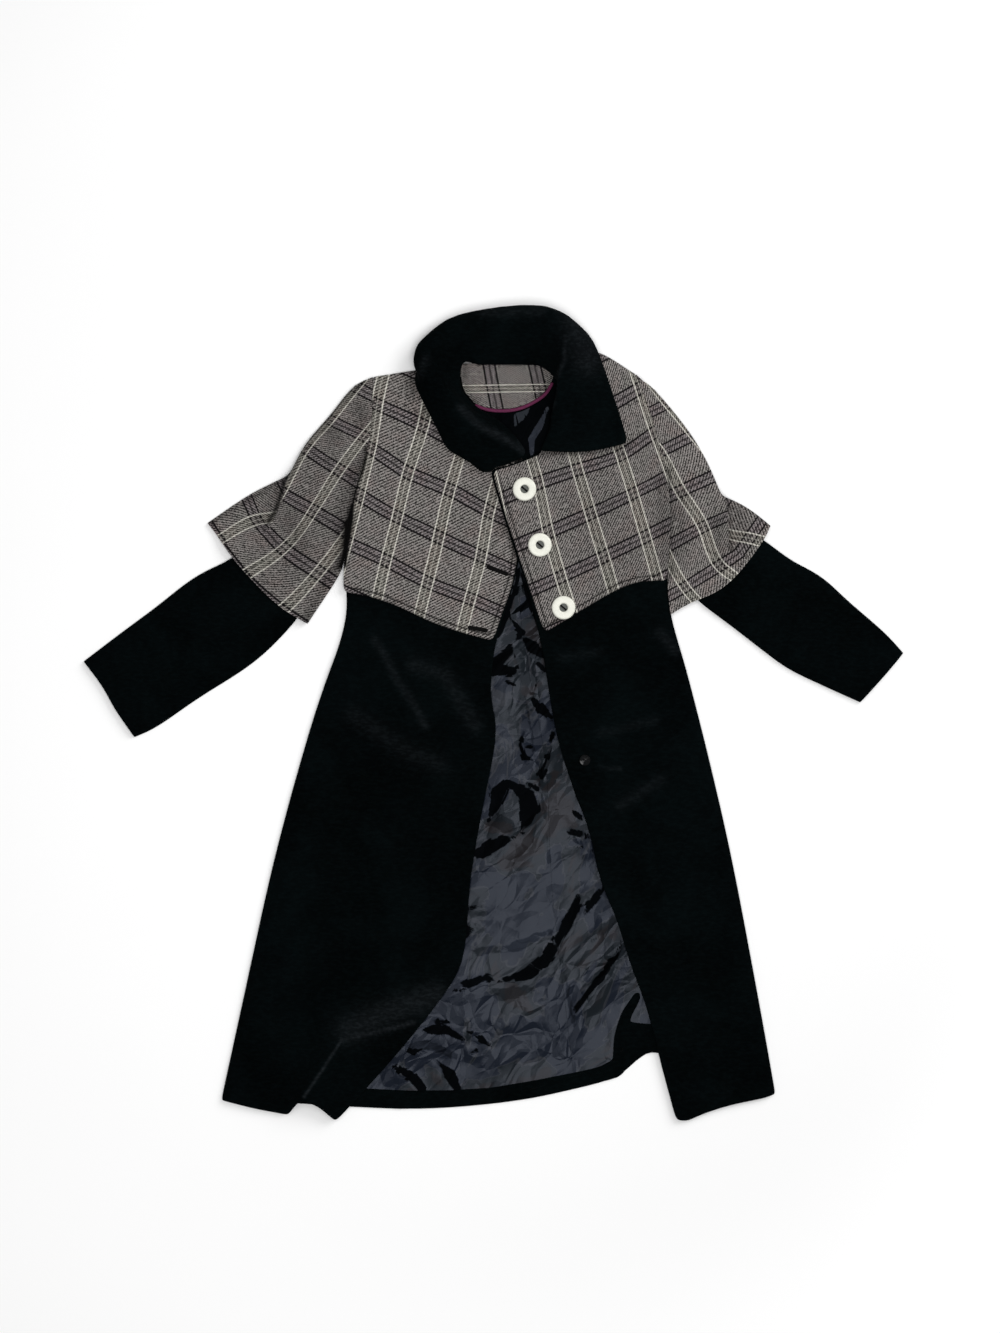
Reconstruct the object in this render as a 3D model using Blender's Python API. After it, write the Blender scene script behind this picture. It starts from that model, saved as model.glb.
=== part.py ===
"""Cape-back coat laid out flat on its back with its front open.

Tables are in millimetres. A plan point is (x, drop): x runs to the right of the
centre back as seen from above, drop runs from the nape down to the hem. Heights
run up from the surface that the coat lies on. Left and right are as seen.
"""

import math
from collections import namedtuple

import bmesh
import bpy
import numpy as np
from mathutils import Matrix, Vector

MM = 0.001

# Cloth
VELVET = 2.2
TWEED = 2.0
LINING = 1.0
COLLAR_WALL = 2.6
GAP = 0.3
CLEAR = 0.6

# How the layers settle on each other
RIM = 12.0
RIM_SHARE = 0.4
FRONT_LOFT = 2.2
SLEEVE_LOFT = 1.8
UNDER_HEM_TUCK = 6.0
SETTLE_START = 400.0
SETTLE_RUN = 120.0
SLEEVE_SETTLE_RUN = 90.0
FLARE_LEVEL = TWEED + GAP + 1.2

# Heights of the stacked layers over the chest
CAPE_TOP = TWEED + GAP
BACK_TO_LINING = VELVET + GAP
BACK_TO_FRONT = BACK_TO_LINING + LINING + GAP
FRONT_TO_CAPE = VELVET + CLEAR

# Where the right front laps over the left front
LAP_TOP = (52, 150)
LAP_FOOT = (-7, 402)
LAP_RISE = VELVET + TWEED + 2 * CLEAR
LAP_EASE = 85.0

# Fastenings
BUTTON_RADIUS = 17.0
BUTTON_HEIGHT = 4.6
SMALL_BUTTON_RADIUS = 8.2
SMALL_BUTTON_HEIGHT = 3.0
BUTTON_SIDES = 24
RING_BUTTONS = {"top": (38, 184), "middle": (60, 264), "low": (94, 354)}
SMALL_BUTTON = (125, 573)
PIPING_RADIUS = 1.5

# Rows of mesh along the armhole seam, shared by every panel that meets it
ARMHOLE_STEPS = 10

# Seam lines that two or more panels share
ARMHOLE_LEFT = [(-180, 22), (-182, 98), (-190, 132), (-206, 189), (-217, 248), (-222, 300)]
ARMHOLE_RIGHT = [(199, 19), (223, 86), (234, 130), (245, 174), (248, 233), (243, 315)]
SIDE_LEFT = [(-222, 300), (-214, 343), (-219, 387), (-236, 428), (-271, 531), (-321, 713),
             (-364, 906), (-398, 1062)]
SIDE_RIGHT = [(243, 315), (248, 369), (265, 422), (300, 557), (336, 714), (374, 913), (399, 1053)]
CENTRE_BACK = [(17, 75), (28, 280), (36, 400), (68, 573), (74, 700), (79, 775), (96, 919), (108, 1023)]

# Shoulders and necks of the cape and of the velvet coat under it
CAPE_SHOULDER_LEFT = [(-180, 22), (-58, 3)]
CAPE_SHOULDER_RIGHT = [(84, -20), (143, -14), (199, 19)]
CAPE_NECK_BACK = [(-58, 3), (12, 3), (84, -20)]
CAPE_NECK_LEFT = [(-58, 3), (-56, 32), (-35, 65), (-4, 84), (22, 105), (46, 144)]
CAPE_NECK_RIGHT = [(84, -20), (88, 40), (82, 74), (68, 130)]
COAT_NECK_LEFT = (-58, 30)
COAT_NECK_RIGHT = (90, 30)

# Cape fronts
CAPE_EDGE_LEFT = [(46, 144), (35, 228), (26, 292), (20, 330), (6, 361), (-7, 402)]
CAPE_HEM_LEFT = [(-222, 331), (-184, 338), (-141, 353), (-98, 374), (-55, 389), (-7, 402)]
CAPE_STEP_RIGHT = [(68, 130), (23, 150), (-9, 158)]
CAPE_EDGE_RIGHT = [(-9, 158), (10, 220), (24, 264), (46, 328), (66, 390)]
CAPE_HEM_RIGHT = [(66, 390), (89, 377), (118, 359), (148, 341), (177, 325), (206, 316), (243, 315)]
CAPE_HEM_BACK = [(-222, 331), (-120, 372), (10, 392), (140, 372), (243, 331)]

# Cape sleeves: the outer fold down to the notch, the flare below it, the hem
CAPE_SLEEVE_LEFT = {
    "fold": [(-187, 25), (-208, 35), (-223, 52), (-236, 71), (-277, 118), (-300, 163)],
    "flare": [(-300, 163), (-356, 190), (-418, 232)],
    "underarm": [(-222, 300), (-236, 320), (-274, 377)],
    "hem": [(-418, 232), (-408, 244), (-385, 278), (-353, 315), (-312, 354), (-274, 377)],
}
CAPE_SLEEVE_RIGHT = {
    "fold": [(208, 27), (230, 45), (271, 95), (295, 132), (312, 168), (321, 192)],
    "flare": [(321, 192), (354, 207), (383, 228), (392, 236)],
    "underarm": [(243, 315), (245, 340), (248, 364)],
    "hem": [(392, 236), (383, 255), (366, 279), (341, 310), (312, 333), (278, 346), (248, 364)],
}

# Velvet sleeves: upper and lower edges from the armhole to the cuff
SLEEVE_LEFT = {
    "upper": [(-205, 80), (-225, 106), (-258, 144), (-297, 194), (-340, 245), (-383, 284),
              (-433, 307), (-492, 353), (-541, 389), (-596, 431)],
    "lower": [(-238, 294), (-268, 334), (-289, 370), (-331, 415), (-369, 445), (-431, 484),
              (-492, 526), (-523, 540)],
    "cuff": [(-596, 431), (-569, 467), (-550, 501), (-523, 540)],
}
SLEEVE_RIGHT = {
    "upper": [(219, 63), (254, 108), (278, 146), (301, 184), (345, 232), (382, 256), (426, 289),
              (464, 307), (500, 341), (559, 392), (583, 419)],
    "lower": [(262, 312), (288, 344), (338, 382), (382, 416), (418, 442), (472, 468), (521, 490)],
    "cuff": [(583, 419), (559, 448), (521, 490)],
}

# Velvet fronts and back below the cape
COAT_EDGE_LEFT = [(49, 147), (38, 228), (29, 292), (22, 332), (9, 361), (-4, 402)]
SKIRT_EDGE_LEFT = [(-4, 402), (-12, 487), (-1, 530), (-20, 631), (-40, 746), (-50, 861), (-84, 919),
                   (-156, 1008), (-233, 1092)]
COAT_STEP_RIGHT = [(66, 128), (23, 148), (-12, 156)]
COAT_EDGE_RIGHT = [(-12, 156), (7, 220), (21, 264), (43, 328), (63, 409)]
SKIRT_EDGE_RIGHT = [(63, 409), (75, 481), (82, 530), (112, 626), (130, 668), (148, 752), (160, 768),
                    (192, 871), (217, 936), (228, 986), (256, 1090)]
SKIRT_HEM_RIGHT = [(256, 1090), (268, 1094), (289, 1084), (331, 1070), (387, 1058), (399, 1053)]
SKIRT_HEM_LEFT = [
    ([(-398, 1062), (-350, 1074), (-302, 1083)], 5),
    ([(-302, 1083), (-283, 1059)], 2),
    ([(-283, 1059), (-258, 1069)], 2),
    ([(-258, 1069), (-233, 1092)], 2),
]
SKIRT_HEM_BACK = [
    ([(-398, 1062), (-289, 1067), (-134, 1076), (-40, 1071), (53, 1060), (147, 1037), (176, 1031)], 9),
    ([(176, 1031), (203, 999), (228, 988)], 2),
    ([(228, 988), (290, 1030), (399, 1053)], 3),
]

# Inside of the back
BAND_TOP = [
    ([(-340, 1040), (-186, 1048), (-40, 1049), (53, 1036), (147, 1018), (171, 1007)], 9),
    ([(171, 1007), (172, 978), (178, 948), (200, 914)], 3),
]
BAND_END = [(200, 914), (203, 948), (227, 987)]
BAND_HEM = [
    ([(-340, 1064), (-213, 1072), (-134, 1075), (-40, 1070), (53, 1059), (147, 1036), (175, 1030)], 9),
    ([(175, 1030), (202, 998), (227, 987)], 3),
]
LINING_LEFT_SIDE = [(-50, 60), (-120, 150), (-190, 300), (-205, 400), (-240, 500), (-300, 713),
                    (-376, 1024)]
LINING_LEFT_TOP = [(-50, 60), (-34, 69), (-16, 74), (17, 75)]
LINING_LEFT_HEM = [(-376, 1024), (-186, 1046), (-40, 1047), (53, 1034), (108, 1023)]
LINING_RIGHT_SIDE = [(86, 38), (150, 150), (212, 300), (230, 405), (272, 557), (310, 714), (366, 1014)]
LINING_RIGHT_TOP = [(17, 75), (36, 71), (66, 54), (86, 38)]
LINING_RIGHT_HEM = [
    ([(108, 1023), (147, 1014), (165, 1004)], 3),
    ([(165, 1004), (166, 977), (172, 946), (197, 908)], 3),
    ([(197, 908), (204, 908)], 1),
    ([(204, 908), (208, 942)], 1),
    ([(208, 942), (240, 962), (366, 1014)], 2),
]
FACING_TOP = [(-54, 3), (-4, 1), (35, 1), (60, -2), (81, -8)]
FACING_FOOT = [(-52, 38), (-33, 60), (-16, 66), (9, 68), (36, 63), (64, 47), (81, 22)]
PIPING_LINE = [(-33, 63), (-16, 69), (9, 71), (36, 66), (66, 49), (78, 31)]

# Folds that stand up from a panel: a crest from start to end, its rise at both,
# and how wide it is to the left and to the right of the way from start to end
Fold = namedtuple("Fold", "start end rise_start rise_end left_width right_width")
SKIRT_FOLDS_LEFT = [
    Fold((-283, 1059), (-225, 972), 20.0, 13.0, 15.0, 46.0),
    Fold((-225, 972), (-112, 950), 9.0, 1.0, 22.0, 30.0),
    Fold((-176, 402), (-112, 507), 5.0, 3.0, 17.0, 20.0),
    Fold((-106, 440), (-36, 510), 4.5, 3.0, 17.0, 20.0),
]
SKIRT_FOLDS_RIGHT = [
    Fold((215, 402), (246, 414), 3.0, 2.0, 14.0, 16.0),
    Fold((150, 600), (235, 592), 2.5, 2.0, 26.0, 26.0),
]
CAPE_FOLDS_LEFT = [Fold((-300, 165), (-332, 250), 5.0, 1.0, 12.0, 32.0)]
CAPE_FOLDS_RIGHT = [Fold((319, 194), (332, 262), 4.0, 1.0, 26.0, 12.0)]
SLEEVE_FOLDS_LEFT = [Fold((-300, 372), (-330, 360), 3.0, 0.5, 12.0, 14.0)]
SLEEVE_FOLDS_RIGHT = [Fold((380, 410), (530, 468), 2.0, 2.6, 16.0, 16.0)]

# The sleeve hem lines past which a velvet sleeve settles to the surface
SLEEVE_HEM_LEFT = ((-418, 232), (-274, 377), 20.0)
SLEEVE_HEM_RIGHT = ((248, 364), (392, 236), 25.0)

# The left flare falls off the velvet sleeve past this line
FLARE_LINE = ((-383, 284), (-300, 163))
FLARE_START = 14.0
FLARE_RUN = 32.0

# Collar sections from its left end round the back neck to its right end. Each has
# the neck seam, the roll, the middle of the fall and the free edge as (x, drop, height)
Section = namedtuple("Section", "seam roll fall edge")
COLLAR_SECTIONS = [
    Section((41, 132, 13.4), (34, 133, 18), (-20, 152, 15.5), (-73, 127, 13.4)),
    Section((7, 97, 13.4), (-4, 103, 26), (-46, 118, 24), (-88, 96, 13.4)),
    Section((-36, 69, 13.4), (-49, 71, 31), (-80, 72, 27), (-107, 58, 13.6)),
    Section((-60, 38, 13.4), (-86, 34, 34), (-110, 30, 27), (-121, 27, 14)),
    Section((-57, 9, 12.5), (-116, -8, 32), (-124, -4, 21), (-112, 6, 11)),
    Section((-46, 6, 9.2), (-95, -34, 33), (-99, -38, 18), (-84, -24, 4)),
    Section((-26, 5, 9.2), (-55, -57, 34), (-57, -64, 18), (-51, -40, 2)),
    Section((10, 5, 9.2), (20, -71, 35), (20, -77, 18), (19, -46, 2)),
    Section((43, 5, 9.2), (65, -70, 35), (70, -77, 18), (63, -48, 2)),
    Section((54, 5, 9.4), (83, -62, 35), (95, -68, 20), (97, -60, 5)),
    Section((62, 6, 9.6), (92, -40, 34), (114, -46, 25), (128, -40, 7)),
    Section((77, 19, 12.5), (94, -11, 33), (120, -14, 26), (142, -17, 11)),
    Section((91, 37, 13.4), (86, 27, 31), (124, 26, 25), (157, 24, 13.6)),
    Section((89, 72, 13.6), (78, 69, 29), (128, 69, 23), (172, 69, 13.4)),
    Section((80, 105, 15.2), (70, 103, 27), (130, 106, 21), (184, 107, 13.4)),
    Section((71, 126, 17.6), (60, 130, 25), (125, 131, 20), (187, 118, 13.4)),
]
COLLAR_STAND_RISE = 3.0
COLLAR_STEPS = 32
COLLAR_ACROSS = 10

# Colour and roughness of each cloth and of the buttons
VELVET_BLACK = ((0.012, 0.012, 0.014), 0.85)
TWEED_GREY = ((0.36, 0.35, 0.34), 0.9)
LINING_SATIN = ((0.045, 0.05, 0.065), 0.3)
PIPING_PLUM = ((0.32, 0.03, 0.16), 0.45)
BUTTON_CREAM = ((0.72, 0.68, 0.6), 0.35)
BUTTON_BLACK = ((0.01, 0.01, 0.012), 0.25)


def clear_scene():
    for item in list(bpy.data.objects):
        bpy.data.objects.remove(item)


def smooth(value):
    """Ease from 0 to 1 as the value goes from 0 to 1."""
    value = np.clip(value, 0.0, 1.0)
    return value * value * (3.0 - 2.0 * value)


def curve(points, steps):
    """Evenly spaced points on a smooth curve through the given points, in 2 or 3 dimensions."""
    given = np.array(points, dtype=float)
    before = 2.0 * given[0] - given[1]
    after = 2.0 * given[-1] - given[-2]
    knots = np.vstack([before, given, after])
    share = np.linspace(0.0, 1.0, 24, endpoint=False)[:, None]
    spans = []
    for index in range(1, len(knots) - 2):
        a, b, c, d = knots[index - 1:index + 3]
        cubic = (3.0 * b - a - 3.0 * c + d) * share ** 3
        square = (2.0 * a - 5.0 * b + 4.0 * c - d) * share ** 2
        spans.append(0.5 * (2.0 * b + (c - a) * share + square + cubic))
    spans.append(given[-1:])
    line = np.vstack(spans)
    run = np.concatenate([[0.0], np.cumsum(np.linalg.norm(np.diff(line, axis=0), axis=1))])
    wanted = np.linspace(0.0, run[-1], steps + 1)
    return np.column_stack([np.interp(wanted, run, line[:, axis]) for axis in range(line.shape[1])])


def path(*pieces):
    """Curves joined end to end at corners; each piece is (points, steps)."""
    parts = [curve(points, steps) for points, steps in pieces]
    return np.vstack([parts[0]] + [part[1:] for part in parts[1:]])


def shifted(line, distance):
    """A plan line moved sideways, to the left of its own direction when distance is positive."""
    along = np.gradient(line, axis=0)
    along /= np.linalg.norm(along, axis=1)[:, None]
    return line + distance * np.column_stack([along[:, 1], -along[:, 0]])


def panel(top, bottom, left, right):
    """Grid of plan points filled in between four edges that meet at their ends."""
    across = np.linspace(0.0, 1.0, len(top))[None, :, None]
    down = np.linspace(0.0, 1.0, len(left))[:, None, None]
    rows = (1.0 - down) * top[None] + down * bottom[None]
    columns = (1.0 - across) * left[:, None] + across * right[:, None]
    head = (1.0 - across) * top[0] + across * top[-1]
    foot = (1.0 - across) * bottom[0] + across * bottom[-1]
    return rows + columns - (1.0 - down) * head - down * foot


def with_rim(grid, edges):
    """A grid with one more line of points close inside each named edge, for the turn of its rim."""
    near, far = RIM_SHARE, 1.0 - RIM_SHARE
    if "left" in edges:
        grid = np.insert(grid, 1, far * grid[:, 0] + near * grid[:, 1], axis=1)
    if "right" in edges:
        grid = np.insert(grid, -1, far * grid[:, -1] + near * grid[:, -2], axis=1)
    if "top" in edges:
        grid = np.insert(grid, 1, far * grid[0] + near * grid[1], axis=0)
    return grid


def seam_round(grid, edges):
    """0 on the named edges of a grid, rising to 1 a rim's width inside them."""
    starts = {"left": grid[:, :1], "right": grid[:, -1:], "top": grid[:1], "bottom": grid[-1:]}
    away = np.min([np.linalg.norm(grid - starts[edge], axis=2) for edge in edges], axis=0)
    return np.sqrt(1.0 - (1.0 - np.clip(away / RIM, 0.0, 1.0)) ** 2)


def line_distance(grid, start, end):
    """Distance of plan points to the left of the line from start to end."""
    along = np.subtract(end, start) / np.linalg.norm(np.subtract(end, start))
    offset = grid - np.array(start, dtype=float)
    return offset[..., 0] * along[1] - offset[..., 1] * along[0]


def fold_rise(grid, folds):
    """Height that the folds add at each plan point."""
    rise = np.zeros(grid.shape[:2])
    for fold in folds:
        start = np.array(fold.start, dtype=float)
        way = np.subtract(fold.end, fold.start)
        length = np.linalg.norm(way)
        share = np.clip(((grid - start) @ way) / length ** 2, 0.0, 1.0)
        side = line_distance(grid, fold.start, fold.end)
        width = np.where(side > 0.0, fold.left_width, fold.right_width)
        away = np.linalg.norm(grid - (start + share[..., None] * way), axis=2)
        crest = fold.rise_start + (fold.rise_end - fold.rise_start) * share
        rise = np.maximum(rise, crest * np.exp(-(away / width) ** 2))
    return rise


def body_ground(grid):
    """Underside of the velvet coat: on the cape back, then down on the surface."""
    return CAPE_TOP * (1.0 - smooth((grid[..., 1] - SETTLE_START) / SETTLE_RUN))


def sleeve_ground(grid, hem_line):
    """Underside of a velvet sleeve: in the cape sleeve, then down on the surface."""
    start, end, bulge = hem_line
    past = line_distance(grid, start, end)
    return CAPE_TOP * (1.0 - smooth((-past - bulge) / SLEEVE_SETTLE_RUN))


def lap_rise(grid):
    """How far the right front is lifted where it laps over the left front."""
    start = np.array(LAP_TOP, dtype=float)
    way = np.subtract(LAP_FOOT, LAP_TOP)
    share = np.clip(((grid - start) @ way) / (way @ way), 0.0, 1.0)
    away = np.linalg.norm(grid - (start + share[..., None] * way), axis=2)
    over_left = line_distance(grid, LAP_TOP, LAP_FOOT) < 0.0
    return LAP_RISE * np.where(over_left, 1.0, 1.0 - smooth(away / LAP_EASE))


def finish(name, mesh_data, look):
    """Make the object of one piece from its vertices and faces, in metres, with its material."""
    vertices, faces = mesh_data
    mesh = bpy.data.meshes.new(name)
    mesh.from_pydata([tuple(Vector(point) * MM) for point in vertices], [], faces)
    shape = bmesh.new()
    shape.from_mesh(mesh)
    bmesh.ops.recalc_face_normals(shape, faces=shape.faces)
    bmesh.ops.triangulate(shape, faces=shape.faces)
    shape.to_mesh(mesh)
    shape.free()
    mesh.shade_smooth()
    mesh.set_sharp_from_angle(angle=math.radians(40))
    colour, roughness = look
    material = bpy.data.materials.new(name)
    material.use_nodes = True
    shader = material.node_tree.nodes["Principled BSDF"]
    shader.inputs["Base Color"].default_value = (*colour, 1.0)
    shader.inputs["Roughness"].default_value = roughness
    shader.inputs["Metallic"].default_value = 0.0
    mesh.materials.append(material)
    piece = bpy.data.objects.new(name, mesh)
    bpy.context.scene.collection.objects.link(piece)
    return piece


def shell(under, over):
    """Vertices and faces of a closed wall between two matching grids of points."""
    rows, columns = under.shape[:2]
    vertices = np.vstack([under.reshape(-1, 3), over.reshape(-1, 3)])
    layer = rows * columns

    def corner(row, column, level):
        return level * layer + row * columns + column

    faces = []
    for row in range(rows - 1):
        for column in range(columns - 1):
            ring = [(row, column), (row, column + 1), (row + 1, column + 1), (row + 1, column)]
            faces.append([corner(*place, 1) for place in ring])
            faces.append([corner(*place, 0) for place in reversed(ring)])
    rim = [(0, column) for column in range(columns - 1)]
    rim += [(row, columns - 1) for row in range(rows - 1)]
    rim += [(rows - 1, column) for column in range(columns - 1, 0, -1)]
    rim += [(row, 0) for row in range(rows - 1, 0, -1)]
    for here, after in zip(rim, rim[1:] + rim[:1]):
        faces.append([corner(*here, 0), corner(*after, 0), corner(*after, 1), corner(*here, 1)])
    return [tuple(point) for point in vertices], faces


def laid(grid, height):
    """Points in space of plan points at the given heights."""
    return np.dstack([grid[..., 0], -grid[..., 1], height])


def cloth(name, grid, underside, thickness, look):
    """One flat-laid panel with an even wall."""
    return finish(name, shell(laid(grid, underside), laid(grid, underside + thickness)), look)


def armhole(seam, first, last, outward=0.0):
    """Points of an armhole seam between two of its shared rows."""
    return shifted(curve(seam, ARMHOLE_STEPS), outward)[first:last + 1]


def cape_back():
    left = np.vstack([armhole(ARMHOLE_LEFT, 0, ARMHOLE_STEPS), CAPE_HEM_BACK[0]])
    right = np.vstack([armhole(ARMHOLE_RIGHT, 0, ARMHOLE_STEPS), CAPE_HEM_BACK[-1]])
    top = path((CAPE_SHOULDER_LEFT, 4), (CAPE_NECK_BACK, 4), (CAPE_SHOULDER_RIGHT, 4))
    grid = panel(top, curve(CAPE_HEM_BACK, 12), left, right)
    return cloth("cape_back", grid, np.zeros(grid.shape[:2]), TWEED, TWEED_GREY)


def cape_front_left_grid():
    left = np.vstack([armhole(ARMHOLE_LEFT, 0, ARMHOLE_STEPS), CAPE_HEM_LEFT[0]])
    right = path((CAPE_NECK_LEFT, 5), (CAPE_EDGE_LEFT, 6))
    grid = panel(curve(CAPE_SHOULDER_LEFT, 9), curve(CAPE_HEM_LEFT, 9), left, right)
    return with_rim(grid, ["top"])


def cape_front_right_grid():
    left = path((CAPE_NECK_RIGHT, 3), (CAPE_STEP_RIGHT, 3), (CAPE_EDGE_RIGHT, 4))
    right = armhole(ARMHOLE_RIGHT, 0, ARMHOLE_STEPS)
    grid = panel(curve(CAPE_SHOULDER_RIGHT, 9), curve(CAPE_HEM_RIGHT, 9), left, right)
    return with_rim(grid, ["top"])


def cape_level(grid):
    """Underside of the tweed that lies on the velvet fronts and sleeves."""
    return np.full(grid.shape[:2], CAPE_TOP + BACK_TO_FRONT + FRONT_TO_CAPE)


def cape_fronts():
    left = cape_front_left_grid()
    seam = CAPE_TOP
    height = seam + (cape_level(left) - seam) * seam_round(left, ["top"])
    cloth("cape_front_left", left, height, TWEED, TWEED_GREY)
    right = cape_front_right_grid()
    height = seam + (cape_level(right) + lap_rise(right) - seam) * seam_round(right, ["top"])
    cloth("cape_front_right", right, height, TWEED, TWEED_GREY)


def cape_sleeve_grid(outline, seam, outward):
    """Grid of a cape sleeve half: rows down from the shoulder, columns from the fold to the armhole."""
    fold_steps = 7
    flare_steps = ARMHOLE_STEPS + 2 - fold_steps
    fold = path((outline["fold"], fold_steps), (outline["flare"], flare_steps))
    inner = np.vstack([armhole(seam, 0, ARMHOLE_STEPS, outward), curve(outline["underarm"], 2)[1:]])
    cap = curve([fold[0], inner[0]], 10)
    return panel(cap, curve(outline["hem"], 10), fold, inner)


def cape_sleeve(side, outline, seam, outward, folds, drop_line):
    """Both halves of one cape sleeve, joined along the outer fold and the underarm."""
    grid = cape_sleeve_grid(outline, seam, outward)
    under = grid[:, ::2].copy()
    last = under[-1] - under[-2]
    under[-1] -= UNDER_HEM_TUCK * last / np.linalg.norm(last, axis=1)[:, None]
    cloth("cape_sleeve_under_" + side, under, np.zeros(under.shape[:2]), TWEED, TWEED_GREY)
    grid = with_rim(grid, ["left"])
    level = cape_level(grid)
    if drop_line:
        past = line_distance(grid, *drop_line)
        level += (FLARE_LEVEL - level) * smooth((past - FLARE_START) / FLARE_RUN)
    level += fold_rise(grid, folds)
    height = CAPE_TOP + (level - CAPE_TOP) * seam_round(grid, ["left"])
    cloth("cape_sleeve_top_" + side, grid, height, TWEED, TWEED_GREY)


def coat_back():
    left = np.vstack([armhole(ARMHOLE_LEFT, 1, ARMHOLE_STEPS), curve(SIDE_LEFT, 14)[1:]])
    right = np.vstack([armhole(ARMHOLE_RIGHT, 1, ARMHOLE_STEPS), curve(SIDE_RIGHT, 14)[1:]])
    neck = [COAT_NECK_LEFT, (-40, 5), (12, 4), (62, 2), COAT_NECK_RIGHT]
    top = path(([left[0], COAT_NECK_LEFT], 4), (neck, 6), ([COAT_NECK_RIGHT, right[0]], 4))
    grid = panel(top, path(*SKIRT_HEM_BACK), left, right)
    return cloth("coat_back", grid, body_ground(grid), VELVET, VELVET_BLACK)


def coat_front_height(grid, seam_edge, folds):
    """Underside of a velvet front: turned down to the side seam, lofted and folded below the cape."""
    ground = body_ground(grid)
    below_cape = smooth((grid[..., 1] - SETTLE_START) / SETTLE_RUN)
    side = seam_round(grid, [seam_edge])
    side[:ARMHOLE_STEPS - 1] = 1.0
    level = BACK_TO_FRONT + FRONT_LOFT * below_cape + fold_rise(grid, folds)
    return ground + BACK_TO_LINING + (level - BACK_TO_LINING) * side


def coat_front_left_grid():
    left = np.vstack([armhole(ARMHOLE_LEFT, 1, ARMHOLE_STEPS), curve(SIDE_LEFT, 21)[1:]])
    neck = [COAT_NECK_LEFT] + [(x - 1, drop + 2) for x, drop in CAPE_NECK_LEFT[2:-1]] + [COAT_EDGE_LEFT[0]]
    right = path((neck, 6), (COAT_EDGE_LEFT, 5), (SKIRT_EDGE_LEFT, 19))
    grid = panel(curve([left[0], COAT_NECK_LEFT], 11), path(*SKIRT_HEM_LEFT), left, right)
    return with_rim(grid, ["left"])


def coat_front_right_grid():
    neck = [COAT_NECK_RIGHT] + [(x + 2, drop) for x, drop in CAPE_NECK_RIGHT[2:-1]] + [COAT_STEP_RIGHT[0]]
    left = path((neck, 4), (COAT_STEP_RIGHT, 3), (COAT_EDGE_RIGHT, 5), (SKIRT_EDGE_RIGHT, 16))
    right = np.vstack([armhole(ARMHOLE_RIGHT, 1, ARMHOLE_STEPS), curve(SIDE_RIGHT, 19)[1:]])
    grid = panel(curve([COAT_NECK_RIGHT, right[0]], 9), curve(SKIRT_HEM_RIGHT, 9), left, right)
    return with_rim(grid, ["right"])


def coat_fronts():
    left = coat_front_left_grid()
    cloth("coat_front_left", left, coat_front_height(left, "left", SKIRT_FOLDS_LEFT), VELVET, VELVET_BLACK)
    right = coat_front_right_grid()
    height = coat_front_height(right, "right", SKIRT_FOLDS_RIGHT) + lap_rise(right)
    cloth("coat_front_right", right, height, VELVET, VELVET_BLACK)


def coat_sleeve(side, outline, seam, outward, hem_line, folds):
    """Top and under halves of one velvet sleeve, joined along its upper and lower edges."""
    top = armhole(seam, 1, ARMHOLE_STEPS - 1, outward)
    upper = curve([top[0]] + outline["upper"], 18)
    lower = curve([top[-1]] + outline["lower"], 18)
    grid = panel(top, curve(outline["cuff"], len(top) - 1), upper, lower)
    ground = sleeve_ground(grid, hem_line)
    cloth("coat_sleeve_under_" + side, grid[::2], ground[::2], VELVET, VELVET_BLACK)
    grid = with_rim(grid, ["left", "right"])
    ground = sleeve_ground(grid, hem_line)
    shown = smooth(1.0 - ground / CAPE_TOP)
    level = BACK_TO_FRONT + SLEEVE_LOFT * shown + fold_rise(grid, folds) * shown
    height = ground + BACK_TO_LINING + (level - BACK_TO_LINING) * seam_round(grid, ["left", "right"])
    cloth("coat_sleeve_top_" + side, grid, height, VELVET, VELVET_BLACK)


def back_linings():
    seam = curve(CENTRE_BACK, 18)
    left = panel(curve(LINING_LEFT_TOP, 8), curve(LINING_LEFT_HEM, 8), curve(LINING_LEFT_SIDE, 18), seam)
    cloth("back_lining_left", left, body_ground(left) + BACK_TO_LINING, LINING, LINING_SATIN)
    seam = seam + (GAP, 0.0)
    top = curve([tuple(seam[0])] + LINING_RIGHT_TOP[1:], 10)
    hem = path(*LINING_RIGHT_HEM)
    hem[0] = seam[-1]
    right = panel(top, hem, seam, curve(LINING_RIGHT_SIDE, 18))
    cloth("back_lining_right", right, body_ground(right) + BACK_TO_LINING, LINING, LINING_SATIN)


def back_hem_band():
    top = path(*BAND_TOP)
    foot = path(*BAND_HEM)
    grid = panel(top, foot, curve([top[0], foot[0]], 2), curve(BAND_END, 2))
    return cloth("back_hem_band", grid, body_ground(grid) + BACK_TO_LINING, LINING, VELVET_BLACK)


def neck_facing():
    top = curve(FACING_TOP, 12)
    foot = curve(FACING_FOOT, 12)
    grid = panel(top, foot, curve([top[0], foot[0]], 4), curve([top[-1], foot[-1]], 4))
    return cloth("neck_facing", grid, body_ground(grid) + BACK_TO_LINING, TWEED, TWEED_GREY)


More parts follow.
